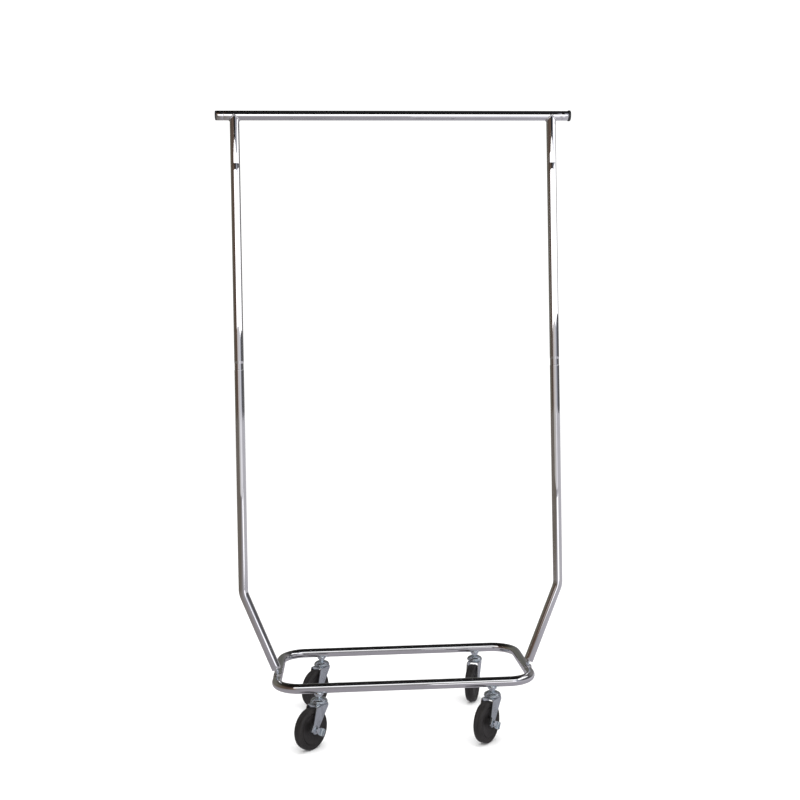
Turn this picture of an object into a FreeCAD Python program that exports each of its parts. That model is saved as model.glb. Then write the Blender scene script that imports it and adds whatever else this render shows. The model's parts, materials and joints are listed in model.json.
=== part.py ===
"""Rolling clothes rack: a knock-down chrome tube frame on a four-caster base loop.

Millimetres, +Z up. The origin is on the floor, under the middle of the base loop.
X runs along the hang rail and Y runs from the front of the base to its back.
"""
import FreeCAD, Part
import math
import os

V = FreeCAD.Vector
X_AXIS, Y_AXIS, Z_AXIS = V(1, 0, 0), V(0, 1, 0), V(0, 0, 1)

# Tubing
TUBE_OD = 25.4
TUBE_WALL = 1.5
SLIP_CLEARANCE = 0.1
SEAT_GAP = 0.05
CURVED_SEAT_GAP = 0.15
BEAD = 1.8

# Frame
RAIL_OVERHANG = 47.0
RAIL_HEIGHT = 1664.0
UPRIGHT_SPACING = 856.0
STUB_DROP = 130.0
MID_SEAM_HEIGHT = 984.0
SPIGOT_LENGTH = 60.0
NECK_LENGTH = 24.0
NECK_SQUEEZE = 0.6
LEG_BEND_HEIGHT = 384.0
LEG_BEND_RADIUS = 60.0

# Rail end plugs and the crimps that hold them
PLUG_DEPTH = 18.0
PLUG_DOME = 4.0
PLUG_FLANGE_OD = 28.6
PLUG_FLANGE = 6.5
CRIMP_INSET = 19.0
CRIMP_DEPTH = 0.35
CRIMP_WIDTH = 1.6

# Feet that drop into sockets on the base
FOOT_SETBACK = 90.0
FOOT_KNEE_RISE = 10.7
FOOT_STAND_OFF = 5.0
FOOT_PLUG_LENGTH = 26.0
FOOT_PLUG_RIM = 1.0
PIN_OD = 9.5
PIN_BEND_RADIUS = 11.0
PIN_DEPTH = 21.0
SOCKET_OD = 17.0
SOCKET_LIP = 3.0
SOCKET_RIM = 1.5
SOCKET_RIM_HEIGHT = 5.0
SOCKET_DEPTH = 8.89

# Base loop
BASE_LENGTH = 683.0
BASE_DEPTH = 332.0
BASE_CORNER_RADIUS = 68.0
CASTER_INSET = 113.5

# Casters
WHEEL_OD = 106.0
TREAD_WIDTH = 25.0
TYRE_DEPTH = 14.0
HUB_WIDTH = 29.0
HUB_OD = 22.0
WEB_THICKNESS = 9.0
CASTER_TRAIL = 33.0
FORK_PLATE = 2.5
FORK_SIDE_GAP = 1.0
FORK_TOP_GAP = 4.0
FORK_CROWN_OD = 42.0
FORK_SHOULDER = 27.0
FORK_FOOT_OD = 23.0
FORK_NOSE_INSET = 5.0
FORK_SKIRT = 9.0
STEM_OD = 10.0
STEM_HEAD_OD = 15.0
STEM_HEAD = 3.0
STEM_HEX = 16.0
STEM_HEX_HEIGHT = 5.35
STEM_COLLAR = 2.0
STEM_REACH = 15.0
INSERT_HEX = 15.0
INSERT_HEIGHT = 8.0
DISH_OD = 45.0
DISH_SKIN = 1.8
DISH_HEIGHT = 12.0
SADDLE_OD = 24.0
SADDLE_THICKNESS = 4.0
SADDLE_LIP = 3.5
BALL_OD = 4.6
BALL_COUNT = 12
BALL_RING_OD = 30.0
BOLT_OD = 8.0
BOLT_HEX = 13.0
BOLT_HEAD = 5.3
NUT_HEIGHT = 6.8
BUSHING_OD = 12.0
RUNNING_CLEARANCE = 0.06
SIDE_CLEARANCE = 0.4

# Brake levers
LEVER_PLATE = 2.4
LEVER_LENGTH = 46.0
LEVER_WAIST = 17.0
LEVER_TILT = 30.0
EAR_WIDTH = 20.0
EAR_REACH = 10.0

# Caster places: side along X, side along Y, and the way each one is turned
CASTERS = {
    "front_left": (-1, -1, 49.0),
    "front_right": (1, -1, 52.0),
    "rear_left": (-1, 1, 54.0),
    "rear_right": (1, 1, 69.0),
}
BRAKED = ("front_left", "front_right")

tube_r = TUBE_OD / 2
bore_r = tube_r - TUBE_WALL
spigot_r = bore_r - SLIP_CLEARANCE
spigot_bore_r = spigot_r - TUBE_WALL
wheel_r = WHEEL_OD / 2
fork_inner = HUB_WIDTH / 2 + FORK_SIDE_GAP
fork_outer = fork_inner + FORK_PLATE
crown_low = WHEEL_OD + FORK_TOP_GAP
crown_top = crown_low + FORK_PLATE
stem_hex_low = crown_top + DISH_HEIGHT + SEAT_GAP + STEM_COLLAR
base_low = stem_hex_low + STEM_HEX_HEIGHT + SADDLE_THICKNESS
base_height = base_low + tube_r
base_high = base_height + tube_r
rail_length = UPRIGHT_SPACING + 2 * RAIL_OVERHANG
upright_y = FOOT_SETBACK - BASE_DEPTH / 2


def cylinder(radius, low, high, x=0.0, y=0.0):
    """A vertical cylinder between two heights."""
    return Part.makeCylinder(radius, high - low, V(x, y, low), Z_AXIS)


def cross_cylinder(radius, low, high, x=0.0, z=0.0):
    """A cylinder along Y between two depths."""
    return Part.makeCylinder(radius, high - low, V(x, low, z), Y_AXIS)


def hexagon(across_flats, height, at, direction):
    """A hexagonal prism that starts at a point and runs along a direction."""
    corner_r = across_flats / math.sqrt(3)
    turns = [math.radians(60 * i) for i in range(7)]
    outline = Part.makePolygon([V(corner_r * math.cos(a), corner_r * math.sin(a), 0) for a in turns])
    prism = Part.Face(outline).extrude(V(0, 0, height))
    prism.Placement = FreeCAD.Placement(at, FreeCAD.Rotation(Z_AXIS, direction))
    return prism


def revolved(profile, axis_at=V(0, 0, 0), axis=Z_AXIS):
    """A full turn of a closed outline, given as points, about an axis."""
    outline = Part.makePolygon(profile + [profile[0]])
    return Part.Face(outline).revolve(axis_at, axis, 360)


def lathe(points):
    """A full turn about Z of an outline given as (radius, height) pairs."""
    return revolved([V(r, 0, z) for r, z in points])


def ring_section(at, direction, outer_r=tube_r, inner_r=bore_r):
    """The cut face of a tube, square to a direction."""
    outer = Part.Face(Part.Wire(Part.makeCircle(outer_r, at, direction)))
    inner = Part.Face(Part.Wire(Part.makeCircle(inner_r, at, direction)))
    return outer.cut(inner).Faces[0]


def joined(pieces):
    """One solid from pieces that share their end faces."""
    whole = pieces[0].multiFuse(pieces[1:]).removeSplitter()
    return whole.Solids[0]


def side_name(side):
    return "left" if side < 0 else "right"


def hang_rail():
    """The top tube, crimped near each end over its plugs, which start at its mouths."""
    half = rail_length / 2
    at = V(-half, upright_y, RAIL_HEIGHT)
    tube = ring_section(at, X_AXIS).extrude(V(rail_length, 0, 0))
    for side in (-1, 1):
        x = side * (half - CRIMP_INSET)
        groove = Part.makeTorus(tube_r + CRIMP_WIDTH / 2 - CRIMP_DEPTH, CRIMP_WIDTH / 2,
                                V(x, upright_y, RAIL_HEIGHT), X_AXIS)
        tube = tube.cut(groove)
    return tube.Solids[0]


def left_end_plug():
    """A flush plug with a domed face."""
    half = rail_length / 2
    plug_r = bore_r - SLIP_CLEARANCE
    profile = [(0, -PLUG_DEPTH), (plug_r, -PLUG_DEPTH), (plug_r, SEAT_GAP), (tube_r, SEAT_GAP)]
    steps = 6
    for i in range(steps + 1):
        a = math.radians(90 * i / steps)
        profile.append((tube_r - PLUG_DOME + PLUG_DOME * math.cos(a), 0.5 + (PLUG_DOME - 0.5) * math.sin(a)))
    profile.append((0, PLUG_DOME))
    plug = lathe(profile)
    plug.Placement = FreeCAD.Placement(V(-half, upright_y, RAIL_HEIGHT),
                                       FreeCAD.Rotation(Z_AXIS, V(-1, 0, 0)))
    return plug


def right_end_plug():
    """A plug with a proud round flange."""
    half = rail_length / 2
    plug_r = bore_r - SLIP_CLEARANCE
    flange_r = PLUG_FLANGE_OD / 2
    edge = 1.5
    profile = [(0, -PLUG_DEPTH), (plug_r, -PLUG_DEPTH), (plug_r, SEAT_GAP), (flange_r - edge / 2, SEAT_GAP),
               (flange_r, SEAT_GAP + edge / 2), (flange_r, PLUG_FLANGE - edge),
               (flange_r - edge, PLUG_FLANGE), (0, PLUG_FLANGE)]
    plug = lathe(profile)
    plug.Placement = FreeCAD.Placement(V(half, upright_y, RAIL_HEIGHT),
                                       FreeCAD.Rotation(Z_AXIS, X_AXIS))
    return plug


def stub_tube(side):
    """A short tube welded under the rail, with a swaged end that plugs into the upright."""
    seam = RAIL_HEIGHT - STUB_DROP
    profile = [(tube_r, RAIL_HEIGHT), (tube_r, seam + SEAT_GAP), (spigot_r, seam + SEAT_GAP),
               (spigot_r, seam - SPIGOT_LENGTH), (spigot_bore_r, seam - SPIGOT_LENGTH),
               (spigot_bore_r, seam + TUBE_WALL + 3), (bore_r, seam + TUBE_WALL + 6), (bore_r, RAIL_HEIGHT)]
    tube = lathe(profile)
    tube.translate(V(side * UPRIGHT_SPACING / 2, upright_y, 0))
    rail_space = Part.makeCylinder(tube_r, UPRIGHT_SPACING * 2,
                                   V(-UPRIGHT_SPACING, upright_y, RAIL_HEIGHT), X_AXIS)
    return tube.cut(rail_space).Solids[0]


def rail_weld_beads():
    """The two weld beads where the stub tubes meet the rail."""
    beads = []
    for side in (-1, 1):
        x = side * UPRIGHT_SPACING / 2
        reach = 3 * tube_r
        low = RAIL_HEIGHT - reach

        def post(radius):
            return cylinder(radius, low, RAIL_HEIGHT, x, upright_y)

        def bar(radius):
            return Part.makeCylinder(radius, 2 * reach, V(x - reach, upright_y, RAIL_HEIGHT), X_AXIS)

        bead = post(tube_r + BEAD).common(bar(tube_r + BEAD)).cut(bar(tube_r)).cut(post(tube_r))
        beads += [solid for solid in bead.Solids if solid.Volume > 1.0]
    return Part.makeCompound(beads)


def upper_tube(side):
    """The upper half of an upright: squeezed to a neck, then swaged to plug into the leg."""
    top = RAIL_HEIGHT - STUB_DROP
    seam = MID_SEAM_HEIGHT
    neck_r = tube_r - NECK_SQUEEZE
    profile = [(tube_r, top), (tube_r, seam + NECK_LENGTH), (neck_r, seam + NECK_LENGTH - 6),
               (neck_r, seam + SEAT_GAP), (spigot_r, seam + SEAT_GAP), (spigot_r, seam - SPIGOT_LENGTH),
               (spigot_bore_r, seam - SPIGOT_LENGTH), (spigot_bore_r, seam + NECK_LENGTH),
               (bore_r, seam + NECK_LENGTH + 6), (bore_r, top)]
    tube = lathe(profile)
    tube.translate(V(side * UPRIGHT_SPACING / 2, upright_y, 0))
    return tube


def leg_line(side):
    """The knee over the socket, the bend's corner, and the unit vector up the sloping run."""
    knee = V(side * BASE_LENGTH / 2, upright_y, base_high + FOOT_KNEE_RISE)
    corner = V(side * UPRIGHT_SPACING / 2, upright_y, LEG_BEND_HEIGHT)
    slope = (corner - knee).normalize()
    return knee, corner, slope


def leg_tube(side):
    """The lower half of an upright, bent inwards to its foot."""
    knee, corner, slope = leg_line(side)
    turn = slope.getAngle(Z_AXIS)
    tangent = LEG_BEND_RADIUS * math.tan(turn / 2)
    mouth = knee + slope * FOOT_STAND_OFF
    bend_start = corner - slope * tangent
    bend_end = corner + Z_AXIS * tangent
    centre = bend_end - X_AXIS * side * LEG_BEND_RADIUS
    sloping = ring_section(mouth, slope).extrude(bend_start - mouth)
    bend = ring_section(bend_end, Z_AXIS).revolve(centre, Y_AXIS, side * math.degrees(turn))
    upright = ring_section(bend_end, Z_AXIS).extrude(V(0, 0, MID_SEAM_HEIGHT - bend_end.z))
    return joined([sloping, bend, upright])


def foot_pin(side):
    """A plug pressed into the leg's mouth, with a pin bent upright to drop into its socket."""
    knee, corner, slope = leg_line(side)
    turn = slope.getAngle(Z_AXIS)
    tangent = PIN_BEND_RADIUS * math.tan(turn / 2)
    pin_r = PIN_OD / 2
    mouth = knee + slope * FOOT_STAND_OFF
    plug = Part.makeCylinder(bore_r - SEAT_GAP, FOOT_PLUG_LENGTH, mouth + slope * FOOT_PLUG_RIM, slope)
    bend_start = knee + slope * tangent
    bend_end = knee - Z_AXIS * tangent
    centre = bend_end + X_AXIS * side * PIN_BEND_RADIUS
    neck_length = (mouth + slope * (FOOT_PLUG_RIM + 2) - bend_start).Length
    neck = Part.makeCylinder(pin_r, neck_length, bend_start, slope)
    section = Part.Face(Part.Wire(Part.makeCircle(pin_r, bend_end, Z_AXIS)))
    bend = section.revolve(centre, Y_AXIS, side * math.degrees(turn))
    shank_low = base_high - PIN_DEPTH
    shank = cylinder(pin_r, shank_low + 1.5, bend_end.z, knee.x, knee.y)
    tip = Part.makeCone(pin_r - 1.2, pin_r, 1.5, V(knee.x, knee.y, shank_low), Z_AXIS)
    return joined([plug, neck, bend, shank, tip])


def pin_socket(side):
    """A collar welded through the top of the base's end tube, with the pin's bore."""
    x = side * BASE_LENGTH / 2
    socket_r = SOCKET_OD / 2
    flange_r = socket_r + SOCKET_RIM
    low = base_high - SOCKET_DEPTH
    body = cylinder(socket_r, low, base_high + SOCKET_LIP, x, upright_y)
    rim_top = base_high + SOCKET_LIP - 1.0
    lip = cylinder(flange_r, rim_top - SOCKET_RIM_HEIGHT, rim_top, x, upright_y)
    lip = lip.cut(Part.makeCylinder(tube_r, 4 * socket_r, V(x, upright_y - 2 * socket_r, base_height), Y_AXIS))
    whole = body.fuse(lip).removeSplitter()
    bore = cylinder(PIN_OD / 2 + SLIP_CLEARANCE, low - 1, base_high + SOCKET_LIP + 1, x, upright_y)
    return whole.cut(bore).Solids[0]


def base_frame():
    """A tube loop with round corners, bored below for the stems and above for the sockets."""
    half_x, half_y = BASE_LENGTH / 2, BASE_DEPTH / 2
    corner = BASE_CORNER_RADIUS
    long_run = BASE_LENGTH - 2 * corner
    short_run = BASE_DEPTH - 2 * corner
    pieces = []
    for side in (-1, 1):
        at = V(-long_run / 2, side * half_y, base_height)
        pieces.append(ring_section(at, X_AXIS).extrude(V(long_run, 0, 0)))
        at = V(side * half_x, -short_run / 2, base_height)
        pieces.append(ring_section(at, Y_AXIS).extrude(V(0, short_run, 0)))
    for quarter in range(4):
        bend = ring_section(V(corner, 0, 0), Y_AXIS).revolve(V(0, 0, 0), Z_AXIS, 90)
        bend.rotate(V(0, 0, 0), Z_AXIS, 90 * quarter)
        sign_x = 1 if quarter in (0, 3) else -1
        sign_y = 1 if quarter in (0, 1) else -1
        bend.translate(V(sign_x * long_run / 2, sign_y * short_run / 2, base_height))
        pieces.append(bend)
    loop = joined(pieces)
    for side_x, side_y, _ in CASTERS.values():
        x, y = caster_place(side_x, side_y)
        loop = loop.cut(cylinder(STEM_OD / 2 + SLIP_CLEARANCE, base_low - 2, base_height, x, y))
    for side in (-1, 1):
        hole_r = SOCKET_OD / 2 + SEAT_GAP
        loop = loop.cut(cylinder(hole_r, base_height, base_high + 2, side * half_x, upright_y))
    return loop.Solids[0]


def caster_place(side_x, side_y):
    return side_x * (BASE_LENGTH / 2 - CASTER_INSET), side_y * BASE_DEPTH / 2


def saddle_washer():
    """A round washer hollowed on top to sit against the tube. It is made at the swivel axis."""
    top = base_low + SADDLE_LIP
    washer = cylinder(SADDLE_OD / 2, base_low - SADDLE_THICKNESS, top)
    hollow = Part.makeCylinder(tube_r + CURVED_SEAT_GAP, 2 * SADDLE_OD, V(-SADDLE_OD, 0, base_height), X_AXIS)
    bore = cylinder(STEM_OD / 2 + SLIP_CLEARANCE, base_low - SADDLE_THICKNESS - 1, top + 1)
    return washer.cut(hollow).cut(bore).Solids[0]


def insert_nut():
    """The nut fixed inside the tube that the stem screws into."""
    corner_r = INSERT_HEX / math.sqrt(3) + CURVED_SEAT_GAP
    low = base_height - math.sqrt(bore_r ** 2 - corner_r ** 2) + CURVED_SEAT_GAP
    nut = hexagon(INSERT_HEX, INSERT_HEIGHT, V(0, 0, low), Z_AXIS)
    return nut.cut(cylinder(STEM_OD / 2 + SEAT_GAP, low - 1, low + INSERT_HEIGHT + 1))


def stem():
    """The kingpin and threaded stem: rivet head, swivel shank, hexagon and thread."""
    shank_r = STEM_OD / 2
    hex_low = stem_hex_low
    thread_top = base_low + STEM_REACH
    head_top = crown_low - SIDE_CLEARANCE
    profile = [(0, head_top - STEM_HEAD), (STEM_HEAD_OD / 2 - 2, head_top - STEM_HEAD),
               (STEM_HEAD_OD / 2, head_top - 1), (STEM_HEAD_OD / 2, head_top), (shank_r, head_top),
               (shank_r, hex_low - STEM_COLLAR), (shank_r + 2.2, hex_low - STEM_COLLAR), (shank_r + 2.2, hex_low + 1),
               (shank_r, hex_low + 1), (shank_r, thread_top - 1), (shank_r - 1, thread_top), (0, thread_top)]
    body = lathe(profile)
    nut = hexagon(STEM_HEX, STEM_HEX_HEIGHT, V(0, 0, hex_low), Z_AXIS)
    return joined([body, nut])


def top_dish():
    """The pressed cup over the swivel balls, held still by the stem."""
    rim_r = DISH_OD / 2
    hub_r = STEM_OD / 2 + SEAT_GAP
    rim_low = crown_top + SIDE_CLEARANCE
    top = crown_top + DISH_HEIGHT
    profile = [(rim_r, rim_low), (rim_r, crown_top + 4.5), (rim_r - 5.5, top - 2.5), (rim_r - 9, top),
               (hub_r, top), (hub_r, top - DISH_SKIN), (rim_r - 9.6, top - DISH_SKIN),
               (rim_r - 5.5 - DISH_SKIN, top - 2.5 - DISH_SKIN), (rim_r - DISH_SKIN, crown_top + 3.6),
               (rim_r - DISH_SKIN, rim_low)]
    dish = lathe(profile)
    race_low = crown_top + SIDE_CLEARANCE + BALL_OD
    race = cylinder(BALL_RING_OD / 2 + 1.5, race_low, top - DISH_SKIN / 2)
    race = race.cut(cylinder(hub_r, race_low - 1, top))
    return dish.fuse(race).removeSplitter().Solids[0]


def swivel_balls():
    """The ring of balls that the fork's crown runs on."""
    centre_z = crown_top + SIDE_CLEARANCE - SEAT_GAP + BALL_OD / 2
    balls = []
    for i in range(BALL_COUNT):
        a = math.radians(360 * i / BALL_COUNT)
        at = V(BALL_RING_OD / 2 * math.cos(a), BALL_RING_OD / 2 * math.sin(a), centre_z)
        balls.append(Part.makeSphere(BALL_OD / 2, at))
    return Part.makeCompound(balls)


def fork_side_outline():
    """The side plate seen from its side: broad at the crown and round at the axle."""
    crown_r = FORK_CROWN_OD / 2
    foot_r = FORK_FOOT_OD / 2
    nose_x = crown_r - FORK_NOSE_INSET
    front, back = V(nose_x, 0, crown_top), V(-FORK_SHOULDER, 0, crown_top)
    axle = V(-CASTER_TRAIL, 0, wheel_r)
    shoulder = V(nose_x, 0, crown_top - FORK_SKIRT)
    down = (axle - shoulder)
    square = V(-down.z, 0, down.x).normalize()
    lower = axle + square * foot_r
    if lower.x < axle.x:
        lower = axle - square * foot_r
    upper = axle + V(-foot_r, 0, 3.0)
    bottom = axle + V(-foot_r * 0.35, 0, -foot_r * 0.94)
    edges = [Part.makeLine(back, front), Part.makeLine(front, shoulder), Part.makeLine(shoulder, lower),
             Part.Arc(lower, bottom, upper).toShape(), Part.makeLine(upper, back)]
    return Part.Face(Part.Wire(edges))


def fork():
    """A pressed fork: round crown, two side plates, and the bores for kingpin and axle."""
    crown_r = FORK_CROWN_OD / 2
    width = 2 * fork_outer
    crown = cylinder(crown_r, crown_low, crown_top)
    shoulder = Part.makeBox(FORK_SHOULDER, width, FORK_PLATE, V(-FORK_SHOULDER, -fork_outer, crown_low))
    plate = fork_side_outline()
    near = plate.extrude(V(0, FORK_PLATE, 0))
    far = near.copy()
    near.translate(V(0, -fork_outer, 0))
    far.translate(V(0, fork_inner, 0))
    body = crown.multiFuse([shoulder, near, far]).removeSplitter()
    body = body.cut(cylinder(STEM_OD / 2 + RUNNING_CLEARANCE, crown_low - 1, crown_top + 1))
    body = body.cut(cross_cylinder(BOLT_OD / 2 + SLIP_CLEARANCE, -width, width, -CASTER_TRAIL, wheel_r))
    return body.Solids[0]


def axle_bolt(braked):
    """The hexagon bolt through fork, bushing and nut, longer where it carries a brake lever."""
    head_seat = -fork_outer - SEAT_GAP
    if braked:
        head_seat -= LEVER_PLATE + 2 * SIDE_CLEARANCE
    tail = fork_outer + NUT_HEIGHT + 2.0
    shank = cross_cylinder(BOLT_OD / 2, head_seat - BOLT_HEAD / 2, tail, -CASTER_TRAIL, wheel_r)
    head = hexagon(BOLT_HEX, BOLT_HEAD, V(-CASTER_TRAIL, head_seat, wheel_r), V(0, -1, 0))
    return joined([shank, head])


def axle_nut():
    seat = fork_outer + SEAT_GAP
    nut = hexagon(BOLT_HEX, NUT_HEIGHT, V(-CASTER_TRAIL, seat, wheel_r), Y_AXIS)
    return nut.cut(cross_cylinder(BOLT_OD / 2 + SEAT_GAP, seat - 1, seat + NUT_HEIGHT + 1, -CASTER_TRAIL, wheel_r))


def bushing():
    """The steel sleeve clamped between the fork's sides, on which the wheel turns."""
    reach = fork_inner - SEAT_GAP
    sleeve = cross_cylinder(BUSHING_OD / 2, -reach, reach, -CASTER_TRAIL, wheel_r)
    bore = cross_cylinder(BOLT_OD / 2 + SLIP_CLEARANCE, -reach - 1, reach + 1, -CASTER_TRAIL, wheel_r)
    return sleeve.cut(bore)


def turned_about_axle(points):
    """A full turn about the wheel's axle of an outline given as (radius, offset) pairs."""
    profile = [V(-CASTER_TRAIL, offset, wheel_r + radius) for radius, offset in points]
    return revolved(profile, V(-CASTER_TRAIL, 0, wheel_r), Y_AXIS)


def mirrored_outline(half):
    """A closed outline from its half on the near side."""
    return half + [(radius, -offset) for radius, offset in reversed(half)]


def wheel_core():
    """The moulded centre: hub, thin web and rim."""
    seat_r = wheel_r - TYRE_DEPTH
    rim_r = seat_r - 4.5
    hub_r = HUB_OD / 2
    half = [(BUSHING_OD / 2 + RUNNING_CLEARANCE, HUB_WIDTH / 2), (hub_r - 1, HUB_WIDTH / 2),
            (hub_r, HUB_WIDTH / 2 - 1), (hub_r + 2.5, WEB_THICKNESS / 2 + 1), (rim_r - 3, WEB_THICKNESS / 2),
            (rim_r, TREAD_WIDTH / 2 - 3), (seat_r - 0.4, TREAD_WIDTH / 2 - 2.4), (seat_r, TREAD_WIDTH / 2 - 3)]
    return turned_about_axle(mirrored_outline(half))


def tyre():
    """The rubber tyre: flat tread, round shoulders and a groove round each side wall."""
    seat_r = wheel_r - TYRE_DEPTH + SEAT_GAP
    side = TREAD_WIDTH / 2
    groove_r = seat_r + 4.5
    half = [(seat_r, side - 3), (seat_r + 1.2, side - 1.2), (groove_r - 1.4, side - 0.7), (groove_r, side - 2.0),
            (groove_r + 1.4, side)]
    shoulder = 4.5
    for i in range(5):
        a = math.radians(90 * i / 4)
        half.append((wheel_r - shoulder + shoulder * math.sin(a), side - shoulder + shoulder * math.cos(a)))
    return turned_about_axle(mirrored_outline(half))


def brake_lever():
    """A rocking plate on the axle bolt with a toe ear bent out at each end."""
    half = LEVER_LENGTH / 2
    waist, ear = LEVER_WAIST / 2, EAR_WIDTH / 2
    inner = -fork_outer - SIDE_CLEARANCE
    outer = inner - LEVER_PLATE
    outline = [(-half, -ear), (-half, ear), (-half * 0.45, waist), (half * 0.45, waist),
               (half, ear), (half, -ear), (half * 0.45, -waist), (-half * 0.45, -waist)]
    points = [V(-CASTER_TRAIL + x, outer, wheel_r + z) for x, z in outline]
    plate = Part.Face(Part.makePolygon(points + [points[0]])).extrude(V(0, LEVER_PLATE, 0))
    ears = []
    for end in (-1, 1):
        low_x = -CASTER_TRAIL + end * half - (LEVER_PLATE if end > 0 else 0)
        ears.append(Part.makeBox(LEVER_PLATE, EAR_REACH, EAR_WIDTH,
                                 V(low_x, outer - EAR_REACH + LEVER_PLATE, wheel_r - ear)))
    lever = plate.multiFuse(ears).removeSplitter()
    bore = cross_cylinder(BOLT_OD / 2 + RUNNING_CLEARANCE, outer - 1, inner + 1, -CASTER_TRAIL, wheel_r)
    lever = lever.cut(bore).Solids[0]
    lever.rotate(V(-CASTER_TRAIL, 0, wheel_r), Y_AXIS, LEVER_TILT)
    return lever


def caster_parts(name):
    """The pieces of one caster, by node name, made at the swivel axis."""
    braked = name in BRAKED
    parts = {
        "stem": stem(),
        "top_dish": top_dish(),
        "swivel_balls": swivel_balls(),
        "fork": fork(),
        "axle_bolt": axle_bolt(braked),
        "axle_nut": axle_nut(),
        "wheel_bushing": bushing(),
        "wheel_core": wheel_core(),
        "tyre": tyre(),
    }
    if braked:
        parts["brake_lever"] = brake_lever()
    return {name + "_" + part: shape for part, shape in parts.items()}


def all_parts():
    """Every node of the rack, in place."""
    parts = {
        "hang_rail": hang_rail(),
        "left_end_plug": left_end_plug(),
        "right_end_plug": right_end_plug(),
        "rail_weld_beads": rail_weld_beads(),
        "base_frame": base_frame(),
    }
    for side in (-1, 1):
        parts[side_name(side) + "_stub_tube"] = stub_tube(side)
        parts[side_name(side) + "_upper_tube"] = upper_tube(side)
        parts[side_name(side) + "_leg_tube"] = leg_tube(side)
        parts[side_name(side) + "_foot_pin"] = foot_pin(side)
        parts[side_name(side) + "_pin_socket"] = pin_socket(side)
    washers, nuts = [], []
    for name, (side_x, side_y, turn) in CASTERS.items():
        x, y = caster_place(side_x, side_y)
        for node, shape in caster_parts(name).items():
            shape.rotate(V(0, 0, 0), Z_AXIS, turn)
            shape.translate(V(x, y, 0))
            parts[node] = shape
        for group, made in ((washers, saddle_washer()), (nuts, insert_nut())):
            made.translate(V(x, y, 0))
            group.append(made)
    parts["caster_saddle_washers"] = Part.makeCompound(washers)
    parts["caster_insert_nuts"] = Part.makeCompound(nuts)
    return parts


def main():
    os.makedirs("parts", exist_ok=True)
    for node, shape in all_parts().items():
        if not shape.isValid():
            raise ValueError(node + " is not a valid shape")
        shape.exportStep("parts/" + node + ".step")
        print(node, len(shape.Solids), round(shape.Volume, 1))


main()
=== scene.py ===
import json
import math

import bmesh
import bpy
from mathutils import Matrix, Vector


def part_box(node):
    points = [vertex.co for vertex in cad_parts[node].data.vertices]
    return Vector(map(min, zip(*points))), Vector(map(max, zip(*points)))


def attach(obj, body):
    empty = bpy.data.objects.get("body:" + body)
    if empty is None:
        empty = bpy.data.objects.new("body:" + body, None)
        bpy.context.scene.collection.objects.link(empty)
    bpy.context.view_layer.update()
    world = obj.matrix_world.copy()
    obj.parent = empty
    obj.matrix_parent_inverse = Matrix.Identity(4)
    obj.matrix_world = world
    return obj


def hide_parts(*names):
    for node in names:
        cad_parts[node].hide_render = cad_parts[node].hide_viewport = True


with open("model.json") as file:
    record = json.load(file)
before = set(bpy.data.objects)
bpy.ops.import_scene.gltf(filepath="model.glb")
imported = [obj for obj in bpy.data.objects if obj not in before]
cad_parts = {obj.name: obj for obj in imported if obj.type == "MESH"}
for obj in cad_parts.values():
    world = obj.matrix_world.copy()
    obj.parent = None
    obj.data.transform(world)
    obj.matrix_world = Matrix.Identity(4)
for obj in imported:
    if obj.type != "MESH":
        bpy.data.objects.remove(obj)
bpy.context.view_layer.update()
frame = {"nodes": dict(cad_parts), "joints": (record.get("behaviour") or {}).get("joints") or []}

bl_info = {
    "name": "Rolling Clothes Rack",
    "version": (1, 0, 0),
    "blender": (4, 5, 0),
    "location": "View3D > Sidebar > Clothes Rack",
    "description": "Builds the finished tubes, feet, welds, casters and studio of a rolling clothes rack",
    "category": "Add Mesh",
}

# ---------------------------------------------------------------- places read from the frame

JOINTS = {joint["name"]: joint for joint in frame["joints"]}
CASTER_NAMES = ("front_left", "front_right", "rear_left", "rear_right")
BRAKED_NAMES = ("front_left", "front_right")
SIDES = {"left": -1, "right": 1}
AXIS_X, AXIS_Y, AXIS_Z = Vector((1, 0, 0)), Vector((0, 1, 0)), Vector((0, 0, 1))


def middle(node):
    low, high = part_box(node)
    return (low + high) / 2


def span(node):
    low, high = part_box(node)
    return high - low


TUBE_R = span("hang_rail").z / 2
RAIL_Z = middle("hang_rail").z
RAIL_HALF = span("hang_rail").x / 2
PLANE_Y = middle("hang_rail").y
UPRIGHT_X = middle("right_upper_tube").x
TOP_SEAM_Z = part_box("right_upper_tube")[1].z
MID_SEAM_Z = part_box("right_leg_tube")[1].z
SPIGOT = MID_SEAM_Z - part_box("right_upper_tube")[0].z
BASE_HALF = span("base_frame") / 2 - Vector((TUBE_R, TUBE_R, 0))
BASE_Z = middle("base_frame").z
SOCKET_X = middle("right_pin_socket").x
SOCKET_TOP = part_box("right_pin_socket")[1].z
WHEEL_R = span("front_left_tyre").z / 2
MM = 0.001


def millimetre_size(name, default, low, high, words):
    return bpy.props.FloatProperty(name=name, description=words, default=default * MM, min=low * MM,
                                   max=high * MM, unit="LENGTH", subtype="DISTANCE")


def colour(name, default, words):
    return bpy.props.FloatVectorProperty(name=name, description=words, default=default, size=3, min=0.0,
                                         max=1.0, subtype="COLOR")


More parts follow.
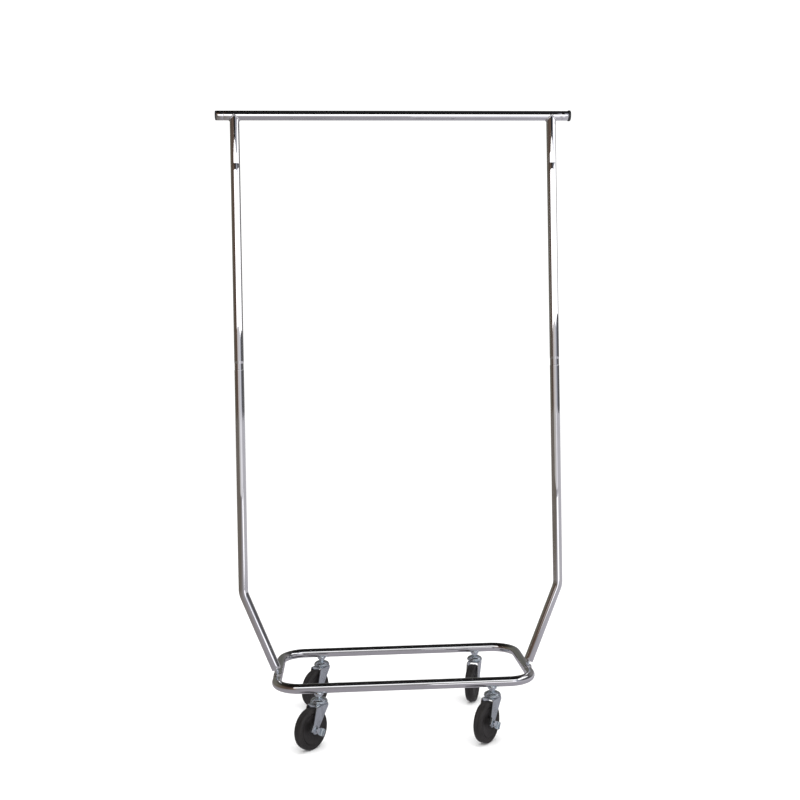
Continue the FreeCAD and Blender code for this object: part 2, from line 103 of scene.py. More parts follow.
class RackSizes(bpy.types.PropertyGroup):
    """Sizes that shape the finished pieces."""
    wall: millimetre_size("Tube wall", 1.5, 0.5, 3.0, "Wall thickness of every tube")
    neck: millimetre_size("Neck squeeze", 0.6, 0.0, 1.5, "How far the upright narrows above its middle seam")
    neck_length: millimetre_size("Neck length", 24, 5, 60, "Length of the narrowed part of the upright")
    corner: millimetre_size("Base corner", 68, 30, 120, "Centre-line radius of the base loop's corners")
    leg_bend: millimetre_size("Leg bend", 60, 30, 150, "Centre-line radius of the bend in each leg")
    bend_height: millimetre_size("Bend height", 384, 300, 500, "Height of the corner of each leg's bend")
    weld: millimetre_size("Weld bead", 1.9, 0.8, 4.0, "Radius of a weld bead")
    ring_steps: bpy.props.IntProperty(name="Ring steps", description="Facets round a tube", default=64,
                                      min=16, max=128)


class RackColours(bpy.types.PropertyGroup):
    """Colours of the finishes."""
    chrome: colour("Chrome", (0.86, 0.86, 0.88), "Reflection colour of the chrome tubes")
    zinc: colour("Zinc", (0.74, 0.80, 0.85), "Reflection colour of the zinc-plated casters")
    rubber: colour("Rubber", (0.0125, 0.0108, 0.0108), "Colour of the wheels' rubber")
    plastic: colour("Plastic", (0.012, 0.012, 0.013), "Colour of the end plugs")
    floor: colour("Floor", (0.93, 0.93, 0.93), "Colour of the studio floor")


# ---------------------------------------------------------------- node helpers


class NodeTree:
    """Adds and links nodes in one tree with short calls."""

    def __init__(self, tree):
        self.tree = tree

    def add(self, kind, inputs=None, **settings):
        node = self.tree.nodes.new(kind)
        for key, value in settings.items():
            setattr(node, key, value)
        for key, value in (inputs or {}).items():
            socket = node.inputs[key]
            if isinstance(value, bpy.types.NodeSocket):
                self.tree.links.new(value, socket)
            else:
                socket.default_value = value
        return node

    def math(self, operation, first, second=0.0):
        return self.add("ShaderNodeMath", {0: first, 1: second}, operation=operation).outputs[0]

    def ramp(self, value, low, high, to_low=0.0, to_high=1.0):
        inputs = {"Value": value, "From Min": low, "From Max": high, "To Min": to_low, "To Max": to_high}
        return self.add("ShaderNodeMapRange", inputs).outputs["Result"]


def group_tree(name, kind, inputs, outputs):
    """A node group with named sockets, given as (name, type, default)."""
    tree = bpy.data.node_groups.new(name, kind)
    for label, socket_type, default in inputs:
        socket = tree.interface.new_socket(name=label, in_out="INPUT", socket_type=socket_type)
        if default is not None:
            socket.default_value = default
    for label, socket_type in outputs:
        tree.interface.new_socket(name=label, in_out="OUTPUT", socket_type=socket_type)
    nodes = NodeTree(tree)
    return nodes, tree.nodes.new("NodeGroupInput").outputs, tree.nodes.new("NodeGroupOutput").inputs


def surface_marks():
    """Fine scratches, hazy smudges and slow waviness, shared by every plated finish."""
    if "surface_marks" in bpy.data.node_groups:
        return bpy.data.node_groups["surface_marks"]
    nodes, given, out = group_tree(
        "surface_marks", "ShaderNodeTree",
        [("Smudge Scale", "NodeSocketFloat", 9.0), ("Scratch Scale", "NodeSocketFloat", 60.0),
         ("Wave Scale", "NodeSocketFloat", 14.0)],
        [("Smudge", "NodeSocketFloat"), ("Scratch", "NodeSocketFloat"), ("Height", "NodeSocketFloat")])
    place = nodes.add("ShaderNodeTexCoord").outputs["Object"]
    smudge = nodes.add("ShaderNodeTexNoise", {"Vector": place, "Scale": given["Smudge Scale"], "Detail": 5.0,
                                              "Roughness": 0.62, "Distortion": 0.6}).outputs["Fac"]
    speck = nodes.add("ShaderNodeTexNoise", {"Vector": place, "Scale": 420.0, "Detail": 2.0}).outputs["Fac"]
    stretched = nodes.add("ShaderNodeMapping", {"Vector": place, "Rotation": (0.5, 0.35, 0.8),
                                                "Scale": (1.0, 14.0, 3.0)}).outputs["Vector"]
    lines = nodes.add("ShaderNodeTexVoronoi", {"Vector": stretched, "Scale": given["Scratch Scale"]},
                      feature="DISTANCE_TO_EDGE").outputs["Distance"]
    scratch = nodes.ramp(lines, 0.0, 0.035, 1.0, 0.0)
    patch = nodes.ramp(smudge, 0.5, 0.68)
    scratch = nodes.math("MULTIPLY", scratch, patch)
    wave = nodes.add("ShaderNodeTexNoise", {"Vector": place, "Scale": given["Wave Scale"], "Detail": 1.5})
    height = nodes.math("ADD", nodes.math("MULTIPLY", wave.outputs["Fac"], 1.0),
                        nodes.math("MULTIPLY", speck, 0.012))
    height = nodes.math("SUBTRACT", height, nodes.math("MULTIPLY", scratch, 0.02))
    nodes.tree.links.new(nodes.ramp(smudge, 0.42, 0.72), out["Smudge"])
    nodes.tree.links.new(scratch, out["Scratch"])
    nodes.tree.links.new(height, out["Height"])
    return nodes.tree


def new_material(name):
    material = bpy.data.materials.new(name)
    material.use_nodes = True
    nodes = NodeTree(material.node_tree)
    return material, nodes, material.node_tree.nodes["Principled BSDF"]


def blend_colour(nodes, amount, first, second):
    mix = nodes.add("ShaderNodeMix", data_type="RGBA")
    nodes.tree.links.new(amount, mix.inputs[0])
    mix.inputs[6].default_value = (*first, 1)
    mix.inputs[7].default_value = (*second, 1)
    return mix.outputs[2]


def plated(name, tint, haze, rough, wave, depth, marks):
    """A plated metal: tint, its hazed tint, roughness range, waviness and mark scales."""
    material, nodes, shader = new_material(name)
    group = nodes.add("ShaderNodeGroup", node_tree=surface_marks())
    for label, value in marks.items():
        group.inputs[label].default_value = value
    smudge, scratch = group.outputs["Smudge"], group.outputs["Scratch"]
    nodes.tree.links.new(blend_colour(nodes, smudge, tint, haze), shader.inputs["Base Color"])
    worn = nodes.math("ADD", nodes.ramp(smudge, 0.0, 1.0, rough[0], rough[1]), nodes.math("MULTIPLY", scratch, 0.12))
    nodes.tree.links.new(worn, shader.inputs["Roughness"])
    shader.inputs["Metallic"].default_value = 1.0
    bump = nodes.add("ShaderNodeBump", {"Height": group.outputs["Height"], "Strength": wave, "Distance": depth})
    nodes.tree.links.new(bump.outputs["Normal"], shader.inputs["Normal"])
    return material


def scaled(tint, factor):
    return tuple(min(1.0, channel * factor) for channel in tint)


def chrome_finish(colours):
    return plated("bright_chrome", tuple(colours.chrome), scaled(colours.chrome, 0.90), (0.02, 0.075), 0.12, 0.0008,
                  {"Smudge Scale": 7.0, "Scratch Scale": 46.0, "Wave Scale": 8.0})


def weld_finish(colours):
    return plated("plated_weld", scaled(colours.chrome, 0.92), scaled(colours.chrome, 0.62), (0.10, 0.30), 0.6, 0.001,
                  {"Smudge Scale": 120.0, "Scratch Scale": 200.0, "Wave Scale": 260.0})


def zinc_finish(colours):
    return plated("bright_zinc", tuple(colours.zinc), scaled(colours.zinc, 0.72), (0.15, 0.30), 0.18, 0.00025,
                  {"Smudge Scale": 30.0, "Scratch Scale": 90.0, "Wave Scale": 45.0})


def fitting_finish(colours):
    return plated("polished_zinc", scaled(colours.zinc, 1.12), scaled(colours.zinc, 0.84), (0.09, 0.22), 0.18, 0.0002,
                  {"Smudge Scale": 50.0, "Scratch Scale": 150.0, "Wave Scale": 90.0})


def black_compound(name, tint, dusty, rough, grain_scale, grain_depth):
    """Moulded black rubber or plastic: a fine grain, cloudy sheen and pale dust in patches."""
    material, nodes, shader = new_material(name)
    place = nodes.add("ShaderNodeTexCoord").outputs["Object"]
    cloud = nodes.add("ShaderNodeTexNoise", {"Vector": place, "Scale": 30.0, "Detail": 6.0,
                                             "Roughness": 0.65}).outputs["Fac"]
    grain = nodes.add("ShaderNodeTexNoise", {"Vector": place, "Scale": grain_scale, "Detail": 3.0}).outputs["Fac"]
    pits = nodes.add("ShaderNodeTexVoronoi", {"Vector": place, "Scale": grain_scale * 0.4}).outputs["Distance"]
    dust = nodes.math("MULTIPLY", nodes.ramp(cloud, 0.42, 0.75), nodes.ramp(grain, 0.35, 0.7))
    nodes.tree.links.new(blend_colour(nodes, dust, tint, dusty), shader.inputs["Base Color"])
    nodes.tree.links.new(nodes.ramp(cloud, 0.3, 0.7, rough[0], rough[1]), shader.inputs["Roughness"])
    height = nodes.math("ADD", grain, nodes.math("MULTIPLY", pits, 0.5))
    bump = nodes.add("ShaderNodeBump", {"Height": height, "Strength": 0.5, "Distance": grain_depth})
    nodes.tree.links.new(bump.outputs["Normal"], shader.inputs["Normal"])
    return material


def rubber_finish(colours):
    return black_compound("wheel_rubber", tuple(colours.rubber), (0.040, 0.034, 0.032), (0.40, 0.62), 900.0, 0.00015)


def plastic_finish(colours):
    return black_compound("plug_plastic", tuple(colours.plastic), (0.03, 0.03, 0.032), (0.28, 0.45), 1400.0, 0.00008)


FINISHES = {"bright_chrome": chrome_finish, "plated_weld": weld_finish, "bright_zinc": zinc_finish,
            "polished_zinc": fitting_finish, "wheel_rubber": rubber_finish, "plug_plastic": plastic_finish}
SLOTS = {"bright_chrome": "chrome_tube", "plated_weld": "chrome_weld", "bright_zinc": "zinc_caster",
         "polished_zinc": "zinc_fittings", "plug_plastic": "black_plug"}


def finish(name):
    """The material of a finish, built the first time that it is asked for."""
    if name not in bpy.data.materials:
        return FINISHES[name](bpy.context.scene.rack_colours)
    return bpy.data.materials[name]


# ---------------------------------------------------------------- mesh helpers


def rounded(corners, steps=4):
    """An outline from (x, y, radius) corners: each corner with a radius becomes a small curve."""
    points = []
    count = len(corners)
    for i, (x, y, radius) in enumerate(corners):
        here = Vector((x, y))
        if radius <= 0:
            points.append(here)
            continue
        before = Vector(corners[i - 1][:2]) - here
        after = Vector(corners[(i + 1) % count][:2]) - here
        reach = min(radius, before.length * 0.49, after.length * 0.49)
        start, end = here + before.normalized() * reach, here + after.normalized() * reach
        for k in range(steps + 1):
            t = k / steps
            points.append(start * (1 - t) ** 2 + here * 2 * t * (1 - t) + end * t ** 2)
    return points


def solid_of(name, shape, material, crease=35.0):
    """A finished object at the origin from a bmesh: merged, facing out and smooth up to the crease angle."""
    bmesh.ops.remove_doubles(shape, verts=shape.verts, dist=1e-6)
    bmesh.ops.recalc_face_normals(shape, faces=shape.faces)
    mesh = bpy.data.meshes.new(name)
    shape.to_mesh(mesh)
    shape.free()
    mesh.polygons.foreach_set("use_smooth", [True] * len(mesh.polygons))
    mesh.set_sharp_from_angle(angle=math.radians(crease))
    mesh.materials.append(finish(material))
    piece = bpy.data.objects.new(name, mesh)
    bpy.context.scene.collection.objects.link(piece)
    return piece


def skin(shape, rings, closed_rings, closed_run):
    """Faces between neighbouring rings of vertices. One-vertex rings close to a point."""
    runs = len(rings) if closed_run else len(rings) - 1
    for i in range(runs):
        first, second = rings[i], rings[(i + 1) % len(rings)]
        count = max(len(first), len(second))
        for k in range(count if closed_rings else count - 1):
            face = []
            for ring, index in ((first, k), (first, k + 1), (second, k + 1), (second, k)):
                vert = ring[index % len(ring)] if len(ring) > 1 else ring[0]
                if vert not in face:
                    face.append(vert)
            if len(face) > 2 and not shape.faces.get(face):
                shape.faces.new(face)


def turned(shape, outline, place, steps=64, closed=True):
    """A turned solid about local Z of (radius, height) points, put in place by a matrix."""
    rings = []
    for radius, height in outline:
        if radius < 1e-7:
            rings.append([shape.verts.new(place @ Vector((0, 0, height)))])
            continue
        ring = []
        for k in range(steps):
            a = math.tau * k / steps
            ring.append(shape.verts.new(place @ Vector((radius * math.cos(a), radius * math.sin(a), height))))
        rings.append(ring)
    skin(shape, rings, True, closed)
    return shape


def hexed(shape, across, low, high, chamfer, place, bore=0.0):
    """A hexagon nut or head about local Z: flats across a size, corners cut back at both ends."""
    steps = 72
    corner = across / math.sqrt(3)
    levels = [(low, across / 2 - chamfer * 0.2), (low + chamfer, corner), (high - chamfer, corner),
              (high, across / 2 - chamfer * 0.2)]
    rings = []
    for height, limit in levels:
        ring = []
        for k in range(steps):
            a = math.tau * k / steps
            flat = across / 2 / math.cos((a + math.pi / 6) % (math.pi / 3) - math.pi / 6)
            r = min(flat, limit)
            ring.append(shape.verts.new(place @ Vector((r * math.cos(a), r * math.sin(a), height))))
        rings.append(ring)
    for height in (high, low):
        r = max(bore, 1e-4)
        ring = [shape.verts.new(place @ Vector((r * math.cos(math.tau * k / steps), r * math.sin(math.tau * k / steps),
                                                height))) for k in range(steps)]
        rings.append(ring)
    skin(shape, rings, True, True)
    return shape


def tube_along(shape, stations, side, outer, inner, steps):
    """A tube wall along stations of (centre, direction), in the plane square to side."""
    rings = []
    for radii, order in ((outer, range(len(stations))), (inner, reversed(range(len(stations))))):
        for i in order:
            centre, direction = stations[i]
            across = direction.cross(side).normalized()
            r = radii[i]
            rings.append([shape.verts.new(centre + across * r * math.cos(math.tau * k / steps)
                                          + side * r * math.sin(math.tau * k / steps)) for k in range(steps)])
    skin(shape, rings, True, True)
    return shape


def facing(at, direction):
    """A matrix that turns local Z to a direction and moves to a point."""
    return Matrix.Translation(at) @ direction.to_track_quat("Z", "Y").to_matrix().to_4x4()


def finished(piece, body, nodes):
    """Parents a piece to the empty of the body it rides on and hides the CAD nodes it stands for."""
    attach(piece, body)
    if nodes:
        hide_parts(*nodes)
    return piece


def even(low, high, count):
    return [low + (high - low) * i / (count - 1) for i in range(count)]


# ---------------------------------------------------------------- geometry node helpers


def grown(name, tree, values, body, nodes, base=None):
    """Evaluates a geometry node tree with named values and keeps its result as a plain mesh piece."""
    carrier = bpy.data.objects.new(name + "_source", base or bpy.data.meshes.new(name + "_source"))
    bpy.context.scene.collection.objects.link(carrier)
    modifier = carrier.modifiers.new("Build", "NODES")
    modifier.node_group = tree
    sockets = {s.name: s.identifier for s in tree.interface.items_tree if s.in_out == "INPUT"}
    for label, value in values.items():
        modifier[sockets[label]] = value
    evaluated = carrier.evaluated_get(bpy.context.evaluated_depsgraph_get())
    mesh = bpy.data.meshes.new_from_object(evaluated)
    carrier.modifiers.remove(modifier)
    bpy.data.objects.remove(carrier)
    mesh.name = name
    piece = bpy.data.objects.new(name, mesh)
    bpy.context.scene.collection.objects.link(piece)
    if not mesh.polygons:
        raise RuntimeError(name + " has no faces")
    return finished(piece, body, nodes)


def finish_geometry(nodes, geometry, out, material):
    """Ends a tree: realize, shade smooth, set the material."""
    real = nodes.add("GeometryNodeRealizeInstances", {"Geometry": geometry}).outputs[0]
    smooth = nodes.add("GeometryNodeSetShadeSmooth", {"Geometry": real}).outputs[0]
    set_material = nodes.add("GeometryNodeSetMaterial", {"Geometry": smooth, "Material": material})
    nodes.tree.links.new(set_material.outputs[0], out["Geometry"])
    return nodes.tree


def loop_tree():
    """A tube loop on a rectangle with round corners: outer skin and bore."""
    nodes, given, out = group_tree(
        "tube_loop", "GeometryNodeTree",
        [("Length", "NodeSocketFloat", 0.68), ("Depth", "NodeSocketFloat", 0.33), ("Corner", "NodeSocketFloat", 0.07),
         ("Height", "NodeSocketFloat", 0.15), ("Radius", "NodeSocketFloat", 0.0127), ("Wall", "NodeSocketFloat", 0.0015),
         ("Steps", "NodeSocketInt", 64)],
        [("Geometry", "NodeSocketGeometry")])
    path = nodes.add("GeometryNodeCurvePrimitiveQuadrilateral", {"Width": given["Length"], "Height": given["Depth"]})
    bent = nodes.add("GeometryNodeFilletCurve", {"Curve": path.outputs[0], "Count": 28, "Radius": given["Corner"]},
                     mode="POLY").outputs[0]
    rise = nodes.add("ShaderNodeCombineXYZ", {"Z": given["Height"]}).outputs[0]
    raised = nodes.add("GeometryNodeTransform", {"Geometry": bent, "Translation": rise}).outputs[0]
    bore = nodes.math("SUBTRACT", given["Radius"], given["Wall"])
    skins = []
    for radius in (given["Radius"], bore):
        ring = nodes.add("GeometryNodeCurvePrimitiveCircle", {"Resolution": given["Steps"], "Radius": radius}).outputs[0]
        skins.append(nodes.add("GeometryNodeCurveToMesh", {"Curve": raised, "Profile Curve": ring}).outputs[0])
    inner = nodes.add("GeometryNodeFlipFaces", {"Mesh": skins[1]}).outputs[0]
    both = nodes.add("GeometryNodeJoinGeometry")
    for geometry in (skins[0], inner):
        nodes.tree.links.new(geometry, both.inputs[0])
    return finish_geometry(nodes, both.outputs[0], out, finish("bright_chrome"))


def bead_tree():
    """A weld bead along a given curve: overlapping round ripples, each turned to the path."""
    nodes, given, out = group_tree(
        "weld_ripples", "GeometryNodeTree",
        [("Geometry", "NodeSocketGeometry", None), ("Count", "NodeSocketInt", 44), ("Radius", "NodeSocketFloat", 0.002),
         ("Seed", "NodeSocketInt", 3)],
        [("Geometry", "NodeSocketGeometry")])
    points = nodes.add("GeometryNodeCurveToPoints", {"Curve": given["Geometry"], "Count": given["Count"]}, mode="COUNT")
    drop = nodes.add("GeometryNodeMeshIcoSphere", {"Radius": given["Radius"], "Subdivisions": 3}).outputs[0]
    size = nodes.add("FunctionNodeRandomValue", {2: 0.88, 3: 1.1, "Seed": given["Seed"]}, data_type="FLOAT").outputs[1]
    placed = nodes.add("GeometryNodeInstanceOnPoints", {"Points": points.outputs[0], "Instance": drop,
                                                        "Rotation": points.outputs["Rotation"], "Scale": size})
    return finish_geometry(nodes, placed.outputs[0], out, finish("plated_weld"))


def ball_tree():
    """A ring of balls."""
    nodes, given, out = group_tree(
        "ball_ring", "GeometryNodeTree",
        [("Centre", "NodeSocketVector", None), ("Ring Radius", "NodeSocketFloat", 0.015),
         ("Ball Radius", "NodeSocketFloat", 0.0023), ("Count", "NodeSocketInt", 12)],
        [("Geometry", "NodeSocketGeometry")])
    ring = nodes.add("GeometryNodeMeshCircle", {"Vertices": given["Count"], "Radius": given["Ring Radius"]}).outputs[0]
    ball = nodes.add("GeometryNodeMeshUVSphere", {"Segments": 20, "Rings": 12, "Radius": given["Ball Radius"]})
    placed = nodes.add("GeometryNodeInstanceOnPoints", {"Points": ring, "Instance": ball.outputs[0]}).outputs[0]
    moved = nodes.add("GeometryNodeTransform", {"Geometry": placed, "Translation": given["Centre"]}).outputs[0]
    return finish_geometry(nodes, moved, out, finish("polished_zinc"))


def thread_tree():
    """Thread ridges: thin rings stacked at the pitch along local Z, then turned and moved into place."""
    nodes, given, out = group_tree(
        "thread_ridges", "GeometryNodeTree",
        [("Radius", "NodeSocketFloat", 0.004), ("Pitch", "NodeSocketFloat", 0.00125), ("Count", "NodeSocketInt", 5),
         ("Start", "NodeSocketVector", None), ("Turn", "NodeSocketVector", None)],
        [("Geometry", "NodeSocketGeometry")])
    step = nodes.add("ShaderNodeCombineXYZ", {"Z": given["Pitch"]}).outputs[0]
    line = nodes.add("GeometryNodeMeshLine", {"Count": given["Count"], "Offset": step}, mode="OFFSET").outputs[0]
    ring = nodes.add("GeometryNodeCurvePrimitiveCircle", {"Resolution": 40, "Radius": given["Radius"]}).outputs[0]
    section = nodes.add("GeometryNodeCurvePrimitiveCircle",
                        {"Resolution": 6, "Radius": nodes.math("MULTIPLY", given["Pitch"], 0.42)}).outputs[0]
    ridge = nodes.add("GeometryNodeCurveToMesh", {"Curve": ring, "Profile Curve": section}).outputs[0]
    placed = nodes.add("GeometryNodeInstanceOnPoints", {"Points": line, "Instance": ridge}).outputs[0]
    moved = nodes.add("GeometryNodeTransform", {"Geometry": placed, "Translation": given["Start"],
                                                "Rotation": given["Turn"]}).outputs[0]
    return finish_geometry(nodes, moved, out, finish("polished_zinc"))


def tree_named(name, maker):
    return bpy.data.node_groups.get(name) or maker()


# ---------------------------------------------------------------- frame pieces


class RACK_OT_hang_rail(bpy.types.Operator):
    """Make the hang rail with a crimped ring near each end"""
    bl_idname = "rack.hang_rail"
    bl_label = "Hang Rail"

    def execute(self, context):
        sizes = context.scene.rack_sizes
        crimp_at, crimp_half, crimp_depth = RAIL_HALF - 0.019, 0.0011, 0.0004
        marks = [0.0]
        for offset in even(-crimp_half, crimp_half, 9):
            marks.append(crimp_at + offset)
        marks += [RAIL_HALF - 0.0006, RAIL_HALF - 0.0002, RAIL_HALF]
        places = sorted({x for mark in marks for x in (mark, -mark)} | set(even(-0.44, 0.44, 45)))
        stations, outer = [], []
        for x in places:
            near = abs(abs(x) - crimp_at) / crimp_half
            dip = crimp_depth * (0.5 + 0.5 * math.cos(math.pi * near)) if near < 1 else 0.0
            edge = max(0.0, 0.0006 - (RAIL_HALF - abs(x)))
            stations.append((Vector((x, PLANE_Y, RAIL_Z)), AXIS_X))
            outer.append(TUBE_R - dip - edge * 0.6)
        inner = [TUBE_R - sizes.wall] * len(places)
        shape = tube_along(bmesh.new(), stations, AXIS_Y, outer, inner, sizes.ring_steps)
        finished(solid_of("rail_tube", shape, "bright_chrome"), "hang_rail", ["hang_rail"])
        return {"FINISHED"}


class RACK_OT_uprights(bpy.types.Operator):
    """Make the stub, upper and leg tubes of both uprights"""
    bl_idname = "rack.uprights"
    bl_label = "Uprights"

    def tube(self, name, stations, outer, inner, body, node):
        steps = bpy.context.scene.rack_sizes.ring_steps
        shape = tube_along(bmesh.new(), stations, AXIS_Y, outer, inner, steps)
        finished(solid_of(name, shape, "bright_chrome"), body, [node])

    def straight(self, side, profile):
        """Stations down an upright from (height, radius) pairs."""
        x = side * UPRIGHT_X
        return [(Vector((x, PLANE_Y, z)), -AXIS_Z) for z, _ in profile], [r for _, r in profile]

    def stub(self, label, side, sizes):
        """The stub is coped to the rail, so its top ring follows the rail's round underside."""
        spigot_r = TUBE_R - sizes.wall - 0.0001
        edge = 0.0005
        profile = [(TOP_SEAM_Z + 0.06, TUBE_R), (TOP_SEAM_Z + 0.03, TUBE_R), (TOP_SEAM_Z + 2 * edge, TUBE_R),
                   (TOP_SEAM_Z + edge, TUBE_R - edge * 0.3), (TOP_SEAM_Z + 0.0001, TUBE_R - edge),
                   (TOP_SEAM_Z + 0.0001, spigot_r), (TOP_SEAM_Z - SPIGOT, spigot_r)]
        x = side * UPRIGHT_X
        steps = sizes.ring_steps
        shape = bmesh.new()
        rings = []
        for radius, push in ((TUBE_R, 0.0), (TUBE_R - sizes.wall, 0.0)):
            ring = []
            for k in range(steps):
                a = math.tau * k / steps
                y = radius * math.sin(a)
                z = RAIL_Z - math.sqrt(max(TUBE_R ** 2 - y ** 2, 0.0)) * 0.999 - push
                ring.append(shape.verts.new(Vector((x + radius * math.cos(a), PLANE_Y + y, z))))
            rings.append(ring)
        coped_outer, coped_inner = rings
        body = []
        for z, r in profile:
            body.append([shape.verts.new(Vector((x + r * math.cos(math.tau * k / steps),
                                                 PLANE_Y + r * math.sin(math.tau * k / steps), z)))
                         for k in range(steps)])
        bore = []
        for z, r in ((TOP_SEAM_Z - SPIGOT, spigot_r - sizes.wall), (TOP_SEAM_Z + 0.004, spigot_r - sizes.wall),
                     (TOP_SEAM_Z + 0.008, TUBE_R - sizes.wall)):
            bore.append([shape.verts.new(Vector((x + r * math.cos(math.tau * k / steps),
                                                 PLANE_Y + r * math.sin(math.tau * k / steps), z)))
                         for k in range(steps)])
        skin(shape, [coped_outer] + body + bore + [coped_inner], True, True)
        finished(solid_of(label + "_stub", shape, "bright_chrome"), "hang_rail", [label + "_stub_tube"])

    def upper(self, label, side, sizes):
        spigot_r = TUBE_R - sizes.wall - 0.0001
        edge = 0.0004
        neck_r = TUBE_R - sizes.neck
        profile = [(TOP_SEAM_Z, TUBE_R - edge), (TOP_SEAM_Z - edge * 0.4, TUBE_R - edge * 0.3),
                   (TOP_SEAM_Z - edge * 1.2, TUBE_R)]
        profile += [(z, TUBE_R) for z in even(TOP_SEAM_Z - 0.02, MID_SEAM_Z + sizes.neck_length + 0.01, 24)]
        for t in even(0.0, 1.0, 7):
            ease = 0.5 - 0.5 * math.cos(math.pi * t)
            profile.append((MID_SEAM_Z + sizes.neck_length - 0.008 * t, TUBE_R - sizes.neck * ease))
        profile += [(MID_SEAM_Z + 0.006, neck_r), (MID_SEAM_Z + 0.0006, neck_r), (MID_SEAM_Z + 0.0001, neck_r - edge),
                    (MID_SEAM_Z + 0.0001, spigot_r), (MID_SEAM_Z - SPIGOT + 0.001, spigot_r),
                    (MID_SEAM_Z - SPIGOT, spigot_r - 0.0005)]
        stations, outer = self.straight(side, profile)
        inner = [r - sizes.wall for r in outer]
        self.tube(label + "_upright", stations, outer, inner, "upper_tubes", label + "_upper_tube")

    def leg(self, label, side, sizes):
        knee = Vector((side * SOCKET_X, PLANE_Y, MOUTH_KNEE_Z))
        corner = Vector((side * UPRIGHT_X, PLANE_Y, sizes.bend_height))
        slope = (corner - knee).normalized()
        turn = slope.angle(AXIS_Z)
        tangent = sizes.leg_bend * math.tan(turn / 2)
        start, end = corner - slope * tangent, corner + AXIS_Z * tangent
        mouth = knee + slope * MOUTH_STAND_OFF
        centre = end - AXIS_X * side * sizes.leg_bend
        edge = 0.0004
        stations = [(mouth, slope), (mouth + slope * edge * 0.4, slope), (mouth + slope * edge * 1.2, slope)]
        outer = [TUBE_R - edge, TUBE_R - edge * 0.3, TUBE_R]
        for t in even(0.05, 1.0, 12):
            stations.append((mouth.lerp(start, t), slope))
        for t in even(0.0, 1.0, 15)[1:]:
            a = turn * (1 - t)
            direction = Vector((side * math.sin(a), 0, math.cos(a)))
            out = Vector((side * math.cos(a), 0, -math.sin(a)))
            stations.append((centre + out * sizes.leg_bend, direction))
        for z in even(end.z + 0.02, MID_SEAM_Z - edge * 2, 28):
            stations.append((Vector((corner.x, PLANE_Y, z)), AXIS_Z))
        outer += [TUBE_R] * (len(stations) - len(outer))
        for drop, shrink in ((edge * 1.2, 0.0), (edge * 0.4, edge * 0.3), (0.0, edge)):
            stations.append((Vector((corner.x, PLANE_Y, MID_SEAM_Z - drop)), AXIS_Z))
            outer.append(TUBE_R - shrink)
        inner = [TUBE_R - sizes.wall] * len(stations)
        self.tube(label + "_leg", stations, outer, inner, "leg_frame", label + "_leg_tube")

    def execute(self, context):
        sizes = context.scene.rack_sizes
        for label, side in SIDES.items():
            self.stub(label, side, sizes)
            self.upper(label, side, sizes)
            self.leg(label, side, sizes)
        return {"FINISHED"}


MOUTH_STAND_OFF = 0.005
MOUTH_KNEE_Z = SOCKET_TOP + 0.0077
PIN_R = 0.00475
PIN_BEND = 0.011


class RACK_OT_feet(bpy.types.Operator):
    """Make the plugged foot pins and the sockets they stand in"""
    bl_idname = "rack.feet"
    bl_label = "Feet"

    def execute(self, context):
        sizes = context.scene.rack_sizes
        for label, side in SIDES.items():
            knee = Vector((side * SOCKET_X, PLANE_Y, MOUTH_KNEE_Z))
            corner = Vector((side * UPRIGHT_X, PLANE_Y, sizes.bend_height))
            slope = (corner - knee).normalized()
            turn = slope.angle(AXIS_Z)
            tangent = PIN_BEND * math.tan(turn / 2)
            plug_r = TUBE_R - sizes.wall - 0.00005
            shape = bmesh.new()
            low, high = MOUTH_STAND_OFF + 0.001, MOUTH_STAND_OFF + 0.027
            plug = rounded([(0, low, 0), (plug_r, low, 0.0012), (plug_r, high, 0.0012), (0, high, 0)])
            turned(shape, [tuple(p) for p in plug], facing(knee, slope), 48, closed=False)
            end = knee - AXIS_Z * tangent
            centre = end + AXIS_X * side * PIN_BEND
            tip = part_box(label + "_foot_pin")[0].z
            stations = [(Vector((knee.x, knee.y, tip)), AXIS_Z), (Vector((knee.x, knee.y, tip + 0.0015)), AXIS_Z)]
            radii = [PIN_R - 0.0012, PIN_R]
            for t in even(0.0, 1.0, 8):
                a = turn * t
                direction = Vector((side * math.sin(a), 0, math.cos(a)))
                inward = Vector((-side * math.cos(a), 0, math.sin(a)))
                stations.append((centre + inward * PIN_BEND, direction))
                radii.append(PIN_R)
            stations.append((knee + slope * (MOUTH_STAND_OFF + 0.002), slope))
            radii.append(PIN_R)
            rings = []
            for (at, direction), r in zip(stations, radii):
                across = direction.cross(AXIS_Y).normalized()
                rings.append([shape.verts.new(at + across * r * math.cos(math.tau * k / 32)
                                              + AXIS_Y * r * math.sin(math.tau * k / 32)) for k in range(32)])
            rings.insert(0, [shape.verts.new(stations[0][0])])
            rings.append([shape.verts.new(stations[-1][0])])
            skin(shape, rings, True, False)
            finished(solid_of(label + "_foot", shape, "polished_zinc"), "leg_frame", [label + "_foot_pin"])
            self.socket(label, side)
        return {"FINISHED"}

    def socket(self, label, side):
        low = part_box(label + "_pin_socket")[0].z
        flange_r = span(label + "_pin_socket").y / 2
        at = Matrix.Translation(Vector((side * SOCKET_X, PLANE_Y, 0)))
        outline = rounded([(PIN_R + 0.0001, low, 0), (flange_r - 0.0015, low, 0), (flange_r - 0.0015, SOCKET_TOP - 0.006, 0),
                           (flange_r, SOCKET_TOP - 0.0035, 0.001), (flange_r, SOCKET_TOP - 0.001, 0.0008),
                           (flange_r - 0.0015, SOCKET_TOP, 0.0008), (PIN_R + 0.0008, SOCKET_TOP, 0.0006),
                           (PIN_R + 0.0001, SOCKET_TOP - 0.001, 0)])
        shape = turned(bmesh.new(), [tuple(p) for p in outline], at, 48)
        finished(solid_of(label + "_socket", shape, "plated_weld"), "base", [label + "_pin_socket"])


